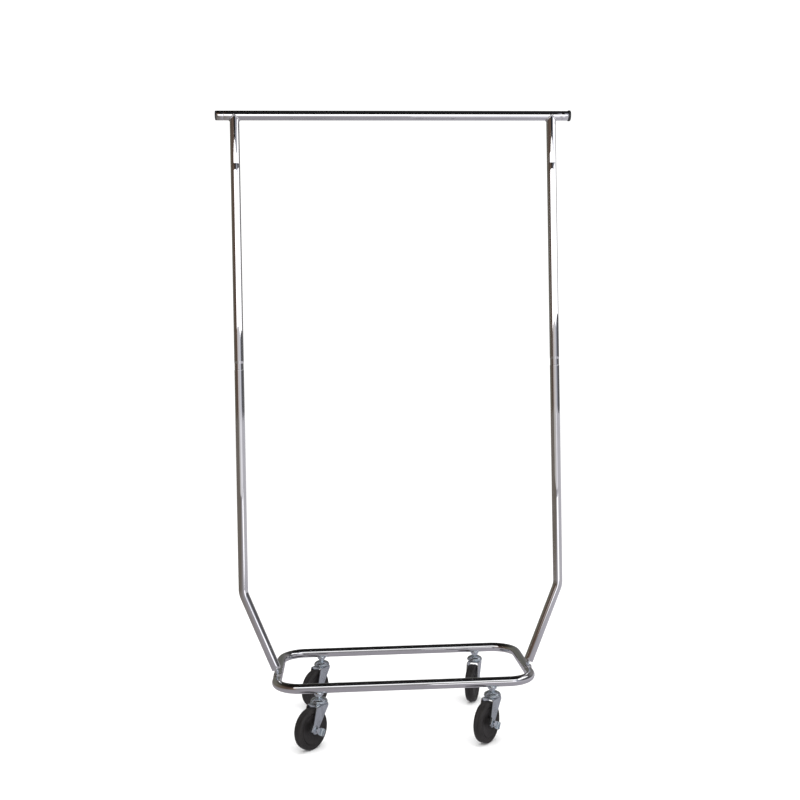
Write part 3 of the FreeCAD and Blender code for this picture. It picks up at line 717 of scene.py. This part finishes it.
class RACK_OT_base_loop(bpy.types.Operator):
    """Grow the base loop's tube round its rectangle"""
    bl_idname = "rack.base_loop"
    bl_label = "Base Loop"

    def execute(self, context):
        sizes = context.scene.rack_sizes
        values = {"Length": BASE_HALF.x * 2, "Depth": BASE_HALF.y * 2, "Corner": sizes.corner, "Height": BASE_Z,
                  "Radius": TUBE_R, "Wall": sizes.wall, "Steps": sizes.ring_steps}
        grown("base_tube", tree_named("tube_loop", loop_tree), values, "base", ["base_frame"])
        return {"FINISHED"}


class RACK_OT_end_plugs(bpy.types.Operator):
    """Make the domed plug and the flanged plug in the rail's ends"""
    bl_idname = "rack.end_plugs"
    bl_label = "End Plugs"

    def execute(self, context):
        sizes = context.scene.rack_sizes
        plug_r = TUBE_R - sizes.wall - 0.0001
        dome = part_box("hang_rail")[0].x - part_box("left_end_plug")[0].x
        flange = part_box("right_end_plug")[1].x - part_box("hang_rail")[1].x
        flange_r = span("right_end_plug").z / 2
        outlines = {
            "left": [(0, -0.018, 0), (plug_r, -0.018, 0.001), (plug_r, 0.00005, 0), (TUBE_R - 0.0001, 0.00005, 0.0003),
                     (TUBE_R - 0.0001, dome, 0.003), (0, dome, 0)],
            "right": [(0, -0.018, 0), (plug_r, -0.018, 0.001), (plug_r, 0.00005, 0), (flange_r, 0.00005, 0.0009),
                      (flange_r, flange, 0.0022), (flange_r * 0.72, flange, 0.0004),
                      (flange_r * 0.68, flange - 0.0006, 0.0004), (0, flange - 0.0006, 0)],
        }
        for label, side in SIDES.items():
            at = facing(Vector((side * RAIL_HALF, PLANE_Y, RAIL_Z)), AXIS_X * side)
            outline = [tuple(p) for p in rounded(outlines[label], 6)]
            shape = turned(bmesh.new(), outline, at, 64, closed=False)
            finished(solid_of(label + "_plug", shape, "plug_plastic"), "hang_rail", [label + "_end_plug"])
        return {"FINISHED"}


class RACK_OT_welds(bpy.types.Operator):
    """Lay rippled weld beads under the rail and round the sockets"""
    bl_idname = "rack.welds"
    bl_label = "Weld Beads"

    def path(self, name, points):
        curve = bpy.data.curves.new(name, "CURVE")
        curve.dimensions = "3D"
        spline = curve.splines.new("POLY")
        spline.points.add(len(points) - 1)
        for point, at in zip(spline.points, points):
            point.co = (*at, 1)
        spline.use_cyclic_u = True
        return curve

    def execute(self, context):
        sizes = context.scene.rack_sizes
        tree = tree_named("weld_ripples", bead_tree)
        for label, side in SIDES.items():
            around = []
            for k in range(96):
                a = math.tau * k / 96
                lift = 0.35 * sizes.weld
                y = TUBE_R * math.sin(a)
                z = RAIL_Z - math.sqrt(TUBE_R ** 2 - y ** 2) - lift * abs(math.cos(a))
                around.append(Vector((side * UPRIGHT_X + (TUBE_R + lift * 0.5) * math.cos(a), PLANE_Y + y * 1.02, z)))
            nodes = ["rail_weld_beads"] if side < 0 else []
            grown(label + "_rail_weld", tree, {"Count": 64, "Radius": sizes.weld, "Seed": 5 + side},
                  "hang_rail", nodes, self.path(label + "_rail_weld_path", around))
            ring_r = span(label + "_pin_socket").y / 2 - 0.0004
            around = []
            for k in range(72):
                a = math.tau * k / 72
                x = ring_r * math.cos(a)
                z = BASE_Z + math.sqrt(TUBE_R ** 2 - x ** 2) + 0.0002
                around.append(Vector((side * SOCKET_X + x, PLANE_Y + ring_r * math.sin(a), z)))
            grown(label + "_socket_weld", tree, {"Count": 44, "Radius": sizes.weld * 0.75, "Seed": 9 + side},
                  "base", [], self.path(label + "_socket_weld_path", around))
        return {"FINISHED"}


# ---------------------------------------------------------------- casters


def caster_place(name):
    """The caster's own frame: Z up its swivel axis from the floor, X the way it rolls."""
    swivel = Vector(JOINTS[name + "_swivel"]["pos_m"])
    wheel = Vector(JOINTS[name + "_wheel_spin"]["pos_m"])
    rolls = (swivel - wheel)
    rolls.z = 0
    turn = math.atan2(rolls.y, rolls.x)
    return Matrix.Translation(Vector((swivel.x, swivel.y, 0))) @ Matrix.Rotation(turn, 4, "Z"), rolls.length


CROWN_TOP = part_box("front_left_fork")[1].z
DISH_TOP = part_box("front_left_top_dish")[1].z
DISH_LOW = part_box("front_left_top_dish")[0].z
DISH_R = span("front_left_top_dish").x / 2
SADDLE_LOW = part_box("caster_saddle_washers")[0].z
STEM_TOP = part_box("front_left_stem")[1].z
STEM_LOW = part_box("front_left_stem")[0].z
FORK_HALF = 0.018
PLATE = 0.0025
STEM_R = 0.005
BOLT_R = 0.004
BOLT_HEX = span("front_left_axle_bolt").z
LEVER_TILT = math.radians(30)


class RACK_OT_caster_hardware(bpy.types.Operator):
    """Make the stems, dishes, balls and saddle washers that hold the casters to the base"""
    bl_idname = "rack.caster_hardware"
    bl_label = "Caster Hardware"

    def execute(self, context):
        for name in CASTER_NAMES:
            place, _ = caster_place(name)
            self.stem(name, place)
            self.dish(name, place)
            centre = middle(name + "_swivel_balls")
            ball_r = span(name + "_swivel_balls").z / 2
            values = {"Centre": centre, "Ring Radius": 0.015, "Ball Radius": ball_r, "Count": 12}
            grown(name + "_balls", tree_named("ball_ring", ball_tree), values, "base", [name + "_swivel_balls"])
        self.saddles()
        return {"FINISHED"}

    def stem(self, name, place):
        shape = bmesh.new()
        hex_low = DISH_TOP + 0.002
        head_r = 0.0075
        outline = rounded([(0, STEM_LOW, 0), (head_r - 0.001, STEM_LOW, 0.001), (head_r, STEM_LOW + 0.003, 0.0005),
                           (STEM_R, STEM_LOW + 0.003, 0), (STEM_R, hex_low - 0.002, 0), (STEM_R + 0.0022, hex_low - 0.002, 0.0005),
                           (STEM_R + 0.0022, hex_low + 0.001, 0), (STEM_R, hex_low + 0.001, 0), (STEM_R, STEM_TOP - 0.001, 0),
                           (STEM_R - 0.001, STEM_TOP, 0), (0, STEM_TOP, 0)])
        turned(shape, [tuple(p) for p in outline], place, 40, closed=False)
        hexed(shape, 0.016, hex_low, SADDLE_LOW, 0.0011, place, STEM_R)
        finished(solid_of(name + "_kingpin", shape, "polished_zinc", 28), "base", [name + "_stem"])

    def dish(self, name, place):
        """A pressed cup with a rolled rim, a ring groove and a flat top."""
        skin_t = 0.0018
        top, low = DISH_TOP, DISH_LOW
        outline = rounded([(DISH_R - 0.0004, low, 0.0006), (DISH_R, low + 0.0012, 0.0006), (DISH_R, low + 0.0030, 0.0009),
                           (DISH_R - 0.0022, low + 0.0036, 0.0006), (DISH_R - 0.0022, low + 0.0048, 0.0006),
                           (DISH_R - 0.0008, low + 0.0056, 0.0008), (DISH_R - 0.0030, low + 0.0080, 0.0016),
                           (DISH_R - 0.0085, top - 0.0006, 0.0022), (DISH_R - 0.0105, top, 0.0010),
                           (STEM_R + 0.0001, top, 0), (STEM_R + 0.0001, top - skin_t, 0),
                           (DISH_R - 0.0110, top - skin_t, 0.001), (DISH_R - 0.0060, top - skin_t - 0.003, 0.001),
                           (DISH_R - 0.0030, low + 0.0048, 0.001), (DISH_R - skin_t, low, 0)], 5)
        shape = turned(bmesh.new(), [tuple(p) for p in outline], place, 96)
        finished(solid_of(name + "_dish", shape, "bright_zinc", 40), "base", [name + "_top_dish"])

    def saddles(self):
        """Round washers under the tube, hollowed on top to its curve."""
        shape = bmesh.new()
        low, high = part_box("caster_saddle_washers")
        washer_r = 0.012
        steps = 72
        for name in CASTER_NAMES:
            place, _ = caster_place(name)
            centre = place.translation
            edge = 0.0009

            def ring(radius, height, follow=False):
                verts = []
                for k in range(steps):
                    a = math.tau * k / steps
                    y = radius * math.sin(a)
                    z = height
                    if follow and abs(y) < TUBE_R:
                        z = min(height, BASE_Z - math.sqrt((TUBE_R + 0.00015) ** 2 - y ** 2))
                    verts.append(shape.verts.new(Vector((centre.x + radius * math.cos(a), centre.y + y, z))))
                return verts

            rings = [ring(STEM_R + 0.0001, low.z), ring(washer_r - edge, low.z), ring(washer_r - edge * 0.3, low.z + edge * 0.3),
                     ring(washer_r, low.z + edge), ring(washer_r, high.z - 0.0012, True), ring(washer_r - 0.0008, high.z, True)]
            for radius in even(washer_r - 0.0015, STEM_R + 0.0001, 14):
                rings.append(ring(radius, high.z, True))
            skin(shape, rings, True, True)
        finished(solid_of("saddle_washers", shape, "polished_zinc", 40), "base", ["caster_saddle_washers"])


class RACK_OT_forks(bpy.types.Operator):
    """Press the forks and fit their axle bolts and nuts"""
    bl_idname = "rack.forks"
    bl_label = "Forks"

    def execute(self, context):
        for name in CASTER_NAMES:
            place, trail = caster_place(name)
            self.fork(name, place, trail)
            self.axle(name, place, trail)
        return {"FINISHED"}

    def fork(self, name, place, trail):
        """A sheet bent down from the crown on both sides, then thickened and its edges eased."""
        foot_r, shoulder_x, nose_x, shoulder_z = 0.0115, -0.027, 0.016, CROWN_TOP - 0.009
        bend = 0.0055
        outside = FORK_HALF
        section = []
        for a in even(-math.pi / 2, math.pi / 2, 15):
            section.append((outside, WHEEL_R + foot_r * math.sin(a) if a < 0 else WHEEL_R + foot_r * math.sin(a) * 0.9))
        for z in even(WHEEL_R + foot_r + 0.002, CROWN_TOP - bend, 14):
            section.append((outside, z))
        for a in even(0.0, math.pi / 2, 7)[1:]:
            section.append((outside - bend + bend * math.cos(a), CROWN_TOP - bend + bend * math.sin(a)))
        section += [(outside - bend - (outside - bend) * t, CROWN_TOP) for t in even(0.0, 1.0, 7)[1:]]
        whole = [(-y, z) for y, z in section] + [(y, z) for y, z in reversed(section[:-1])]
        shape = bmesh.new()
        columns = 16
        rings = []
        for y, z in whole:
            back, front = self.reach(z, abs(y), trail, foot_r, shoulder_x, nose_x, shoulder_z)
            line = []
            for x in even(back, front, columns):
                middle_t = (x - back) / max(front - back, 1e-6)
                press = 0.0007 * self.channel(middle_t) * self.window(z) * (1 if y > 0 else -1)
                line.append(shape.verts.new(place @ Vector((x, y - press, z))))
            rings.append(line)
        skin(shape, rings, False, False)
        bmesh.ops.remove_doubles(shape, verts=shape.verts, dist=2e-5)
        bmesh.ops.recalc_face_normals(shape, faces=shape.faces)
        up = max(shape.faces, key=lambda face: face.calc_center_median().z)
        if up.normal.z < 0:
            bmesh.ops.reverse_faces(shape, faces=shape.faces)
        mesh = bpy.data.meshes.new(name + "_fork_press")
        shape.to_mesh(mesh)
        shape.free()
        mesh.polygons.foreach_set("use_smooth", [True] * len(mesh.polygons))
        mesh.materials.append(finish("bright_zinc"))
        piece = bpy.data.objects.new(name + "_fork_press", mesh)
        bpy.context.scene.collection.objects.link(piece)
        thick = piece.modifiers.new("Thickness", "SOLIDIFY")
        thick.thickness, thick.offset = PLATE, -1.0
        ease = piece.modifiers.new("Edges", "BEVEL")
        ease.width, ease.segments, ease.limit_method, ease.angle_limit = 0.0006, 2, "ANGLE", math.radians(50)
        finished(piece, name + "_fork", [name + "_fork"])

    @staticmethod
    def channel(t):
        """A raised band down the middle of a side plate."""
        return max(0.0, min(1.0, (0.34 - abs(t - 0.5)) / 0.08))

    @staticmethod
    def window(z):
        low, high = WHEEL_R + 0.013, CROWN_TOP - 0.012
        return max(0.0, min(1.0, (z - low) / 0.006)) * max(0.0, min(1.0, (high - z) / 0.006))

    @staticmethod
    def reach(z, y, trail, foot_r, shoulder_x, nose_x, shoulder_z):
        """Back and front edge of the fork at a height, and at a depth across the crown."""
        axle = -trail
        if z < WHEEL_R:
            half = math.sqrt(max(foot_r ** 2 - (z - WHEEL_R) ** 2, 0.0))
            return axle - half, axle + half
        t = (z - WHEEL_R) / (CROWN_TOP - WHEEL_R)
        back = (axle - foot_r) * (1 - t) + shoulder_x * t
        rise = min(1.0, (z - WHEEL_R) / (shoulder_z - WHEEL_R))
        front = (axle + foot_r) * (1 - rise) + nose_x * rise
        if z > CROWN_TOP - 1e-6:
            front += 0.005 * (1 - (y / FORK_HALF) ** 2)
        return back, front

    def axle(self, name, place, trail):
        hub = place @ Matrix.Translation(Vector((-trail, 0, WHEEL_R))) @ Matrix.Rotation(math.pi / 2, 4, "X")
        braked = name in BRAKED_NAMES
        head_seat = FORK_HALF + 0.0002 + (0.0032 if braked else 0.0)
        shape = bmesh.new()
        tail = FORK_HALF + 0.0088
        hexed(shape, BOLT_HEX, head_seat, head_seat + 0.0053, 0.0010, hub)
        shank = [(0, -tail, 0), (BOLT_R - 0.0007, -tail, 0), (BOLT_R, -tail + 0.0007, 0), (BOLT_R, head_seat + 0.001, 0),
                 (0, head_seat + 0.001, 0)]
        turned(shape, [point[:2] for point in shank], hub, 40, closed=False)
        finished(solid_of(name + "_bolt", shape, "polished_zinc", 28), name + "_fork", [name + "_axle_bolt"])
        shape = bmesh.new()
        hexed(shape, BOLT_HEX, -FORK_HALF - 0.0069, -FORK_HALF - 0.0001, 0.0010, hub, BOLT_R + 0.0001)
        finished(solid_of(name + "_nut", shape, "polished_zinc", 28), name + "_fork", [name + "_axle_nut"])
        turn = hub.to_euler()
        start = hub @ Vector((0, 0, -tail + 0.0008))
        values = {"Radius": BOLT_R - 0.0001, "Pitch": 0.0006, "Count": 3, "Start": start, "Turn": Vector(turn)}
        grown(name + "_bolt_thread", tree_named("thread_ridges", thread_tree), values, name + "_fork", [])


class RACK_OT_wheels(bpy.types.Operator):
    """Turn the rubber wheels: tread with a groove, dished faces and hubs"""
    bl_idname = "rack.wheels"
    bl_label = "Wheels"

    def execute(self, context):
        for name in CASTER_NAMES:
            place, trail = caster_place(name)
            hub = place @ Matrix.Translation(Vector((-trail, 0, WHEEL_R))) @ Matrix.Rotation(math.pi / 2, 4, "X")
            self.tyre(name, hub)
            self.core(name, hub)
        return {"FINISHED"}

    def tyre(self, name, hub):
        side, seat = 0.0125, WHEEL_R - 0.014
        face = [(seat, side - 0.003, 0.0008), (seat + 0.0025, side - 0.0012, 0.0014), (seat + 0.0060, side - 0.0002, 0.001),
                (seat + 0.0072, side - 0.0016, 0.0007), (seat + 0.0084, side - 0.0002, 0.0012),
                (WHEEL_R - 0.0020, side - 0.0016, 0.0030), (WHEEL_R - 0.0002, side - 0.0060, 0.0030)]
        groove = [(WHEEL_R - 0.00005, 0.0028, 0.0008), (WHEEL_R - 0.0014, 0.0020, 0.0006), (WHEEL_R - 0.0014, 0.0004, 0.0006),
                  (WHEEL_R, -0.0004, 0.0008)]
        back = [(radius, -offset, ease) for radius, offset, ease in reversed(face)]
        outline = rounded(face + groove + back, 4)
        shape = turned(bmesh.new(), [tuple(p) for p in outline], hub, 112)
        finished(solid_of(name + "_tread", shape, "wheel_rubber", 40), name + "_wheel", [name + "_tyre"])

    def core(self, name, hub):
        """The wheel's moulded centre: a dished face on each side that rises to the hub, with fine rings."""
        seat, hub_half, bore = WHEEL_R - 0.0141, 0.0145, 0.00606
        face = [(bore, hub_half, 0), (0.0095, hub_half, 0.0008), (0.0110, hub_half - 0.0012, 0.0008),
                (0.0130, 0.0090, 0.0015), (0.0165, 0.0072, 0.0012), (0.0172, 0.0078, 0.0005), (0.0182, 0.0078, 0.0005),
                (0.0190, 0.0072, 0.0008), (0.0270, 0.0080, 0.0020), (0.0276, 0.0086, 0.0005), (0.0286, 0.0086, 0.0005),
                (0.0320, 0.0096, 0.0015), (seat - 0.0006, 0.0106, 0.0010), (seat, 0.0095, 0.0005)]
        back = [(radius, -offset, ease) for radius, offset, ease in reversed(face)]
        outline = rounded(face + back, 4)
        shape = turned(bmesh.new(), [tuple(p) for p in outline], hub, 96)
        finished(solid_of(name + "_centre", shape, "wheel_rubber", 40), name + "_wheel", [name + "_wheel_core"])


class RACK_OT_brake_levers(bpy.types.Operator):
    """Press the lobed brake levers with their toe ears"""
    bl_idname = "rack.brake_levers"
    bl_label = "Brake Levers"

    def execute(self, context):
        for name in BRAKED_NAMES:
            place, trail = caster_place(name)
            self.lever(name, place, trail)
        return {"FINISHED"}

    def lever(self, name, place, trail):
        half, ear_half, waist, reach, plate = 0.023, 0.010, 0.0085, 0.010, 0.0024
        lift = FORK_HALF + 0.0006 + plate
        bend = 0.0035
        run = []
        for t in even(0.0, 1.0, 4):
            run.append((-half, lift + (reach - plate) * (1 - t) + bend * t))
        for a in even(0.0, math.pi / 2, 6)[1:]:
            run.append((-half + bend - bend * math.cos(a), lift + bend - bend * math.sin(a)))
        flat = even(-half + bend, half - bend, 25)[1:]
        run += [(x, lift) for x in flat]
        for a in even(0.0, math.pi / 2, 6)[1:]:
            run.append((half - bend + bend * math.sin(a), lift + bend - bend * math.cos(a)))
        for t in even(0.0, 1.0, 4)[1:]:
            run.append((half, lift + bend * (1 - t) + (reach - plate) * t))
        hub = place @ Matrix.Translation(Vector((-trail, 0, WHEEL_R))) @ Matrix.Rotation(LEVER_TILT, 4, "Y")
        shape = bmesh.new()
        rings = []
        for x, out in run:
            t = abs(x) / half
            width = waist + (ear_half - waist) * t ** 2 + 0.0016 * math.cos(math.pi * 3 * t) * (1 - t)
            tip = max(0.0, (out - lift - bend) / max(reach - plate - bend, 1e-6))
            width *= 1 - 0.28 * tip ** 2
            dome = 0.0008 * max(0.0, 1 - (x / (half * 0.55)) ** 2)
            line = []
            for z in even(-width, width, 13):
                bulge = dome * (1 - (z / width) ** 2)
                line.append(shape.verts.new(hub @ Vector((x, -(out + bulge), z))))
            rings.append(line)
        skin(shape, rings, False, False)
        bmesh.ops.recalc_face_normals(shape, faces=shape.faces)
        mesh = bpy.data.meshes.new(name + "_toe_lever")
        shape.to_mesh(mesh)
        shape.free()
        outward = place.to_3x3() @ Vector((0, -1, 0))
        flat_face = min(mesh.polygons, key=lambda face: (face.center - place @ Vector((-trail, -lift, WHEEL_R))).length)
        inward_offset = 1.0 if flat_face.normal.dot(outward) < 0 else -1.0
        mesh.polygons.foreach_set("use_smooth", [True] * len(mesh.polygons))
        mesh.materials.append(finish("bright_zinc"))
        piece = bpy.data.objects.new(name + "_toe_lever", mesh)
        bpy.context.scene.collection.objects.link(piece)
        thick = piece.modifiers.new("Thickness", "SOLIDIFY")
        thick.thickness, thick.offset = plate, inward_offset
        ease = piece.modifiers.new("Edges", "BEVEL")
        ease.width, ease.segments, ease.limit_method, ease.angle_limit = 0.0006, 2, "ANGLE", math.radians(50)
        finished(piece, name + "_brake_lever", [name + "_brake_lever"])


class RACK_OT_hidden_parts(bpy.types.Operator):
    """Give the pieces that stay as designed, inside the casters and tube, their plated finish"""
    bl_idname = "rack.hidden_parts"
    bl_label = "Inner Parts"

    def execute(self, context):
        kept = ["caster_insert_nuts"] + [name + "_wheel_bushing" for name in CASTER_NAMES]
        for node in kept:
            mesh = frame["nodes"][node].data
            mesh.materials.clear()
            mesh.materials.append(finish("polished_zinc"))
        return {"FINISHED"}


# ---------------------------------------------------------------- stage


class RACK_OT_stage(bpy.types.Operator):
    """Set the pale floor, the soft studio light and the camera"""
    bl_idname = "rack.stage"
    bl_label = "Stage"

    def execute(self, context):
        self.floor(context.scene.rack_colours)
        self.world(context)
        self.lights()
        self.camera(context)
        context.scene.view_settings.view_transform = "Standard"
        return {"FINISHED"}

    def floor(self, colours):
        size = 30.0
        mesh = bpy.data.meshes.new("studio_floor")
        mesh.from_pydata([(-size, -size, 0), (size, -size, 0), (size, size, 0), (-size, size, 0)], [], [(0, 1, 2, 3)])
        material = bpy.data.materials.new("studio_floor")
        material.use_nodes = True
        nodes = NodeTree(material.node_tree)
        shader = material.node_tree.nodes["Principled BSDF"]
        shader.inputs["Base Color"].default_value = (*colours.floor, 1)
        shader.inputs["Roughness"].default_value = 0.9
        shader.inputs["Specular IOR Level"].default_value = 0.0
        # Painted reflection: glossy rays see the floor as a glow instead of the lit floor. It is painted shade, from
        # dark brown at the left through lavender grey to pale grey at the right, which the chrome's undersides reflect.
        path = nodes.add("ShaderNodeLightPath")
        place = nodes.add("ShaderNodeTexCoord").outputs["Object"]
        parts = nodes.add("ShaderNodeSeparateXYZ", {"Vector": place}).outputs
        across = nodes.add("ShaderNodeTexNoise", {"Vector": place, "Scale": 1.6, "Detail": 3.0}).outputs["Fac"]
        across = nodes.math("ADD", parts["X"], nodes.math("MULTIPLY", nodes.math("SUBTRACT", across, 0.5), 0.3))
        painted_reflection_tone = self.ramp(nodes, nodes.ramp(across, -2.0, 2.0), PAINTED_FLOOR_REFLECTION)
        painted_reflection_glow = nodes.add("ShaderNodeEmission", {"Color": painted_reflection_tone, "Strength": 1.0}).outputs[0]
        mix = nodes.add("ShaderNodeMixShader", {0: path.outputs["Is Glossy Ray"], 1: shader.outputs[0], 2: painted_reflection_glow})
        nodes.tree.links.new(mix.outputs[0], material.node_tree.nodes["Material Output"].inputs["Surface"])
        mesh.materials.append(material)
        floor = bpy.data.objects.new("studio_floor", mesh)
        bpy.context.scene.collection.objects.link(floor)

    def world(self, context):
        """White all round for the camera and for soft light, a dim room with a pale window wall for gloss."""
        world = bpy.data.worlds.new("studio")
        context.scene.world = world
        world.use_nodes = True
        nodes = NodeTree(world.node_tree)
        background = world.node_tree.nodes["Background"]
        heading = nodes.add("ShaderNodeTexCoord").outputs["Generated"]
        parts = nodes.add("ShaderNodeSeparateXYZ", {"Vector": heading}).outputs
        ahead = nodes.math("MULTIPLY", parts["Y"], -1.0)
        turn = nodes.ramp(nodes.math("ARCTAN2", parts["X"], ahead), -math.pi, math.pi)
        front = self.ramp(nodes, nodes.ramp(parts["Z"], -1.0, 1.0), FRONT_WALL)
        sides = self.ramp(nodes, turn, SIDE_WALLS)
        ceiling = self.ramp(nodes, nodes.ramp(parts["Z"], -1.0, 1.0), CEILING)
        room = nodes.add("ShaderNodeMix", data_type="RGBA", blend_type="MULTIPLY")
        room.inputs[0].default_value = 1.0
        nodes.tree.links.new(sides, room.inputs[6])
        nodes.tree.links.new(ceiling, room.inputs[7])
        ahead_only = self.ramp(nodes, turn, FRONT_MASK)
        joined = nodes.add("ShaderNodeMix", data_type="RGBA")
        nodes.tree.links.new(ahead_only, joined.inputs[0])
        nodes.tree.links.new(room.outputs[2], joined.inputs[6])
        nodes.tree.links.new(front, joined.inputs[7])
        room = joined
        path = nodes.add("ShaderNodeLightPath")
        pick = nodes.add("ShaderNodeMix", data_type="RGBA")
        nodes.tree.links.new(path.outputs["Is Glossy Ray"], pick.inputs[0])
        pick.inputs[6].default_value = (1.12, 1.12, 1.12, 1)
        nodes.tree.links.new(room.outputs[2], pick.inputs[7])
        nodes.tree.links.new(pick.outputs[2], background.inputs["Color"])
        background.inputs["Strength"].default_value = 1.0

    @staticmethod
    def ramp(nodes, value, stops):
        """A colour ramp from (position, colour) stops."""
        node = nodes.add("ShaderNodeValToRGB", {"Fac": value})
        elements = node.color_ramp.elements
        while len(elements) < len(stops):
            elements.new(0.5)
        for element, (position, tint) in zip(elements, stops):
            element.position = position
            element.color = (*tint, 1)
        return node.outputs[0]

    def lights(self):
        """Soft panels: place, the point each one faces, width, height, brightness and whether gloss shows it."""
        panels = {
            "front_softbox": ((0.15, -1.65, 1.61), (0.15, 0, 1.61), 3.0, 0.80, 1.5, True),
            "front_glow": ((0.0, -1.66, 0.84), (0.0, 0, 0.84), 2.4, 0.74, 0.33, True),
            "low_strip": ((0.75, -1.64, 0.24), (0.75, 0, 0.24), 1.1, 0.40, 0.9, True),
            "right_softbox": ((2.1, -0.7, 1.85), (0, -0.7, 1.85), 2.3, 1.2, 1.35, True),
            "top_fill": ((0.2, -0.6, 4.2), (0, 0, 0), 3.0, 3.0, 2.0, False),
        }
        for name, (at, target, width, height, brightness, shows) in panels.items():
            light = bpy.data.lights.new(name, "AREA")
            light.shape = "RECTANGLE"
            light.size, light.size_y = width, height
            light.energy = brightness * math.pi * width * height
            panel = bpy.data.objects.new(name, light)
            panel.location = at
            panel.rotation_euler = (Vector(target) - Vector(at)).to_track_quat("-Z", "Y").to_euler()
            panel.visible_glossy = shows
            bpy.context.scene.collection.objects.link(panel)

    def camera(self, context):
        """A long-standing view from in front, a little to the left and above the middle of the rack."""
        data = bpy.data.cameras.new("studio_camera")
        data.sensor_width = 36.0
        data.lens = CAMERA_LENS
        data.clip_end = 100.0
        camera = bpy.data.objects.new("studio_camera", data)
        camera.location = CAMERA_AT
        yaw, pitch, roll = (math.radians(angle) for angle in CAMERA_TURN)
        turn = Matrix.Rotation(-yaw, 4, "Z") @ Matrix.Rotation(math.pi / 2 - pitch, 4, "X") @ Matrix.Rotation(-roll, 4, "Z")
        camera.rotation_euler = turn.to_euler()
        context.scene.collection.objects.link(camera)
        context.scene.camera = camera


def compass(*stops):
    """Ramp stops from (degrees round from the front towards the right, colour)."""
    return [((degrees + 180) / 360, tint) for degrees, tint in stops]


def tilt(*stops):
    """Ramp stops from (degrees above the horizon, colour)."""
    return [((math.sin(math.radians(degrees)) + 1) / 2, tint) for degrees, tint in stops]


WHITE, BLACK = (1.0, 1.0, 1.0), (0.0, 0.0, 0.0)
SIDE_WALLS = compass((-180, (0.12, 0.12, 0.11)), (-128, (0.15, 0.145, 0.12)), (-88, (0.12, 0.092, 0.066)),
                     (-58, (0.085, 0.058, 0.048)), (-30, (0.16, 0.11, 0.08)), (-9, (0.42, 0.28, 0.19)),
                     (5, (0.42, 0.40, 0.43)), (40, (0.38, 0.39, 0.45)), (64, (0.11, 0.11, 0.115)),
                     (98, (0.07, 0.07, 0.075)), (130, (0.22, 0.21, 0.21)), (180, (0.12, 0.12, 0.11)))
CEILING = tilt((-90, (0.6, 0.6, 0.6)), (-20, WHITE), (25, WHITE), (40, (0.3, 0.3, 0.3)), (65, (0.04, 0.04, 0.04)))
FRONT_WALL = tilt((-90, (0.22, 0.21, 0.23)), (-12, (0.28, 0.27, 0.28)), (8, (0.30, 0.29, 0.30)),
                  (12, (0.02, 0.02, 0.02)), (60, (0.012, 0.012, 0.013)))
# Painted reflection of the floor in shade, as the chrome sees it: dark brown at the left to pale lavender grey at the
# right.
PAINTED_FLOOR_REFLECTION = [(0.0, (0.16, 0.14, 0.12)), (0.25, (0.24, 0.22, 0.21)), (0.36, (0.31, 0.295, 0.315)),
               (0.62, (0.37, 0.355, 0.385)), (0.74, (0.46, 0.45, 0.49)), (1.0, (0.5, 0.49, 0.52))]
FRONT_MASK = compass((-24, BLACK), (-17, WHITE), (17, WHITE), (26, BLACK))
CAMERA_AT = (-0.15453, -2.61561, 0.92651)
CAMERA_TURN = (3.54, 0.69, 0.97)
CAMERA_LENS = 42.24


# ---------------------------------------------------------------- panel and registration

STEPS = ("hang_rail", "uprights", "feet", "base_loop", "end_plugs", "welds", "caster_hardware", "forks", "wheels",
         "brake_levers", "hidden_parts", "stage")


class RACK_PT_panel(bpy.types.Panel):
    """Buttons for every piece of the rack, with its sizes and colours"""
    bl_idname = "RACK_PT_panel"
    bl_label = "Clothes Rack"
    bl_space_type = "VIEW_3D"
    bl_region_type = "UI"
    bl_category = "Clothes Rack"

    def draw(self, context):
        for step in STEPS:
            self.layout.operator("rack." + step)
        for group in (context.scene.rack_sizes, context.scene.rack_colours):
            for name in group.__annotations__:
                self.layout.prop(group, name)


CLASSES = (RackSizes, RackColours, RACK_OT_hang_rail, RACK_OT_uprights, RACK_OT_feet, RACK_OT_base_loop,
           RACK_OT_end_plugs, RACK_OT_welds, RACK_OT_caster_hardware, RACK_OT_forks, RACK_OT_wheels,
           RACK_OT_brake_levers, RACK_OT_hidden_parts, RACK_OT_stage, RACK_PT_panel)


def register():
    for cls in CLASSES:
        bpy.utils.register_class(cls)
    bpy.types.Scene.rack_sizes = bpy.props.PointerProperty(type=RackSizes)
    bpy.types.Scene.rack_colours = bpy.props.PointerProperty(type=RackColours)


def unregister():
    del bpy.types.Scene.rack_colours
    del bpy.types.Scene.rack_sizes
    for cls in reversed(CLASSES):
        bpy.utils.unregister_class(cls)


def main():
    register()
    for step in STEPS:
        getattr(bpy.ops.rack, step)()


if __name__ == "__main__":
    main()
